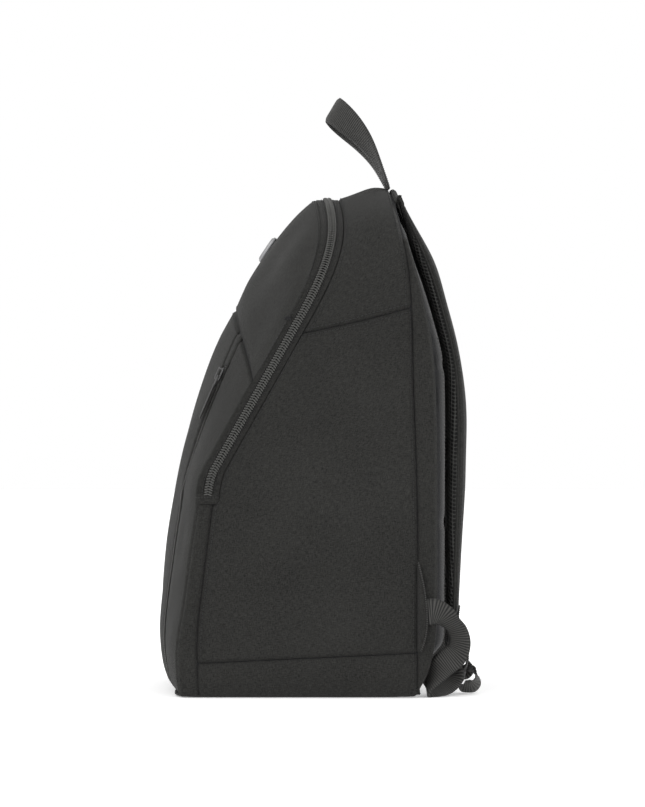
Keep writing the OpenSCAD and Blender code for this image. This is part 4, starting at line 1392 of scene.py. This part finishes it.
class SKATEBAG_OT_back(bpy.types.Operator):
    """Back panel: two long padded channels of air mesh with a groove between them."""

    bl_idname = "skate_bag.back"
    bl_label = "Back panel"

    def execute(self, context):
        foot, length, step, inset = 1.5, 444.4, 3.4, 2.4
        z = foot + spaced(length, step)[:, None] * length
        across = 1 - 2 * spaced(2 * SHOULDER_HALF, step)[None]
        rise = np.clip((z - SHOULDER_HEIGHT) / (RIDGE_HEIGHT - inset - SHOULDER_HEIGHT), 0, 1)
        corner = (SHOULDER_HALF - inset) * (1 - rise**CORNER_POWER) ** (1 / CORNER_POWER)
        half = np.where(z <= SHOULDER_HEIGHT, half_width(z) - inset, corner)
        x = across * half
        # Two channels between the straps, a groove at the middle, and a low pad under each strap.
        reach = np.clip(strap_centre(z) - strap_half(z) - 4, 24, 60)
        place = np.abs(x) / reach
        channel = np.clip(1 - np.abs(2 * place - 1) ** 2.6, 0, 1) ** 0.6
        channel = channel * np.clip(strap_inner(z) - back_line(z) + 0.8, 0, 12)
        outer = np.clip((np.abs(x) - reach) / np.maximum(half - reach, 1), 0, 1)
        channel += 1.4 * np.sin(outer * math.pi) ** 0.7
        rows = 1 - 0.1 * np.exp(-(((z - 150) / 5) ** 2)) - 0.1 * np.exp(-(((z - 290) / 5) ** 2))
        ends = smooth((z - 22) / 22) * smooth((432 - z) / 26)
        y = back_line(z) - 0.4 + channel * rows * ends - 4.0 * tucked(z)
        flat = spread(x, y, z)
        grid = sewn(flat, wrinkle=0.3, pucker=0.2, roll=1.4, seed=81)
        # The flanks of the channels take the dark lining cloth as painted shade, darkening the gap
        # between the gusset and the straps.
        painted_shade_flank = (np.abs(place - 0.96) < 0.16)[:-1, :-1].astype(int)
        panel = shell("Back_Panel", grid, [finish_of("air_mesh"), finish_of("lining")], thickness=7.0,
                      pick=painted_shade_flank)
        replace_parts(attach(panel, BODY), "back_panel", "back_foam")
        return {"FINISHED"}


class SKATEBAG_OT_inside(bpy.types.Operator):
    """Base, lining, divider and the stiff boards inside."""

    bl_idname = "skate_bag.inside"
    bl_label = "Base and inside"

    def execute(self, context):
        # Base: a rounded rectangle as rings drawn in from its edge, closed top and bottom.
        ring = np.linspace(0, 2 * math.pi, 120, endpoint=False)[None]
        shrink = np.array([0, 0.02, 0.05, 0.12, 0.3, 0.5, 0.7, 0.86, 0.97])[:, None]

        def corner(v):
            return np.sign(v) * np.abs(v) ** 0.16

        def layer(z):
            return spread(corner(np.cos(ring)) * 155.5 * (1 - shrink),
                          -5.5 + corner(np.sin(ring)) * 105.5 * (1 - shrink), z + 0 * shrink)

        under, upper = layer(1.6 * (1 - np.minimum(shrink / 0.05, 1)) ** 2), layer(3.0)
        points = np.concatenate([under[::-1], upper]).reshape(-1, 3)
        faces = capped(ring_ids(2 * len(shrink), ring.size))
        base = put_mesh("Base_Panel", points, faces, [finish_of("fabric")], uv=points[:, :2])
        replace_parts(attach(base, BODY), "base_panel")

        def lining(name, grid, thickness=0.8):
            return shell(name, grid, [finish_of("lining")], thickness=thickness)

        # Divider behind the lower pocket, and the lining of the flap's pocket.
        share, rise = np.linspace(-1, 1, 70)[None], np.linspace(0, 1, 50)[:, None]
        z = 7 + rise * 165
        flat = spread(share * (half_width(z) - 5), front_edge(z) + 7, z)
        divider = lining("Pocket_Divider", sewn(flat, wrinkle=1.2, puff=0, seed=91), 1.0)
        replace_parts(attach(divider, BODY), "pocket_divider")
        z = 177 + rise * 153
        y = mix(front_line(z), front_edge(z), 0.75 + 0.25 * share**2) + 5.5
        flat = spread(share * (half_width(z) - 9), y, z)
        inner = lining("Flap_Lining", sewn(flat, wrinkle=0.9, puff=0, seed=92), 1.0)
        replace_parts(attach(inner, FLAP), "flap_lining")
        # Lining behind the seams of the sides and top, and behind those of the front.
        flat = over_top(
            level(2.5), lambda z: np.where(z < 172, pocket_edge(z) + 1, zip_line(z) + 5),
            lambda z: behind_gusset(z) - 1.5 + 2.4 * eased(z, 422, 14), 6.0, out=-2.7)
        flat[..., 0] -= np.sign(flat[..., 0]) * TUCK * tucked(flat[..., 2])
        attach(lining("Side_Lining", flat), BODY)
        z = 2.5 + spaced(426.0, 6.0)[:, None] * 426.0
        half = half_width(np.minimum(z, 434.0), ZIP_TOP_HEIGHT)
        flat = front_points(np.linspace(-1, 1, 60)[None] * (half - 2.5), z, tuck=TUCK)
        move_with(lining("Front_Lining", flat + np.array([0, 2.9, 0])), BODY, FLAP)
        for node in ("back_board", "base_board"):
            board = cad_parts[node]
            board.data.materials.clear()
            board.data.materials.append(finish_of("plastic"))
        return {"FINISHED"}


STEPS = (SKATEBAG_OT_camera, SKATEBAG_OT_stage, SKATEBAG_OT_sides, SKATEBAG_OT_front,
         SKATEBAG_OT_main_zip, SKATEBAG_OT_pocket_zips, SKATEBAG_OT_sliders, SKATEBAG_OT_badge,
         SKATEBAG_OT_handle, SKATEBAG_OT_straps, SKATEBAG_OT_buckles, SKATEBAG_OT_lower_webbing,
         SKATEBAG_OT_back, SKATEBAG_OT_inside)


class SKATEBAG_PT_panel(bpy.types.Panel):
    """Lists the bag's settings and its steps."""

    bl_idname = "SKATEBAG_PT_panel"
    bl_label = "Skate Bag"
    bl_space_type = "VIEW_3D"
    bl_region_type = "UI"
    bl_category = "Skate Bag"

    def draw(self, context):
        for name in SkateBagSettings.__annotations__:
            self.layout.prop(context.scene.skate_bag, name)
        for step in STEPS:
            self.layout.operator(step.bl_idname)


CLASSES = (SkateBagSettings, *STEPS, SKATEBAG_PT_panel)


def register():
    for each in CLASSES:
        bpy.utils.register_class(each)
    bpy.types.Scene.skate_bag = bpy.props.PointerProperty(type=SkateBagSettings)


def unregister():
    del bpy.types.Scene.skate_bag
    for each in reversed(CLASSES):
        bpy.utils.unregister_class(each)


def main():
    """Builds every step in order."""
    register()
    for step in STEPS:
        group, _, name = step.bl_idname.partition(".")
        getattr(getattr(bpy.ops, group), name)()


if __name__ == "__main__":
    main()
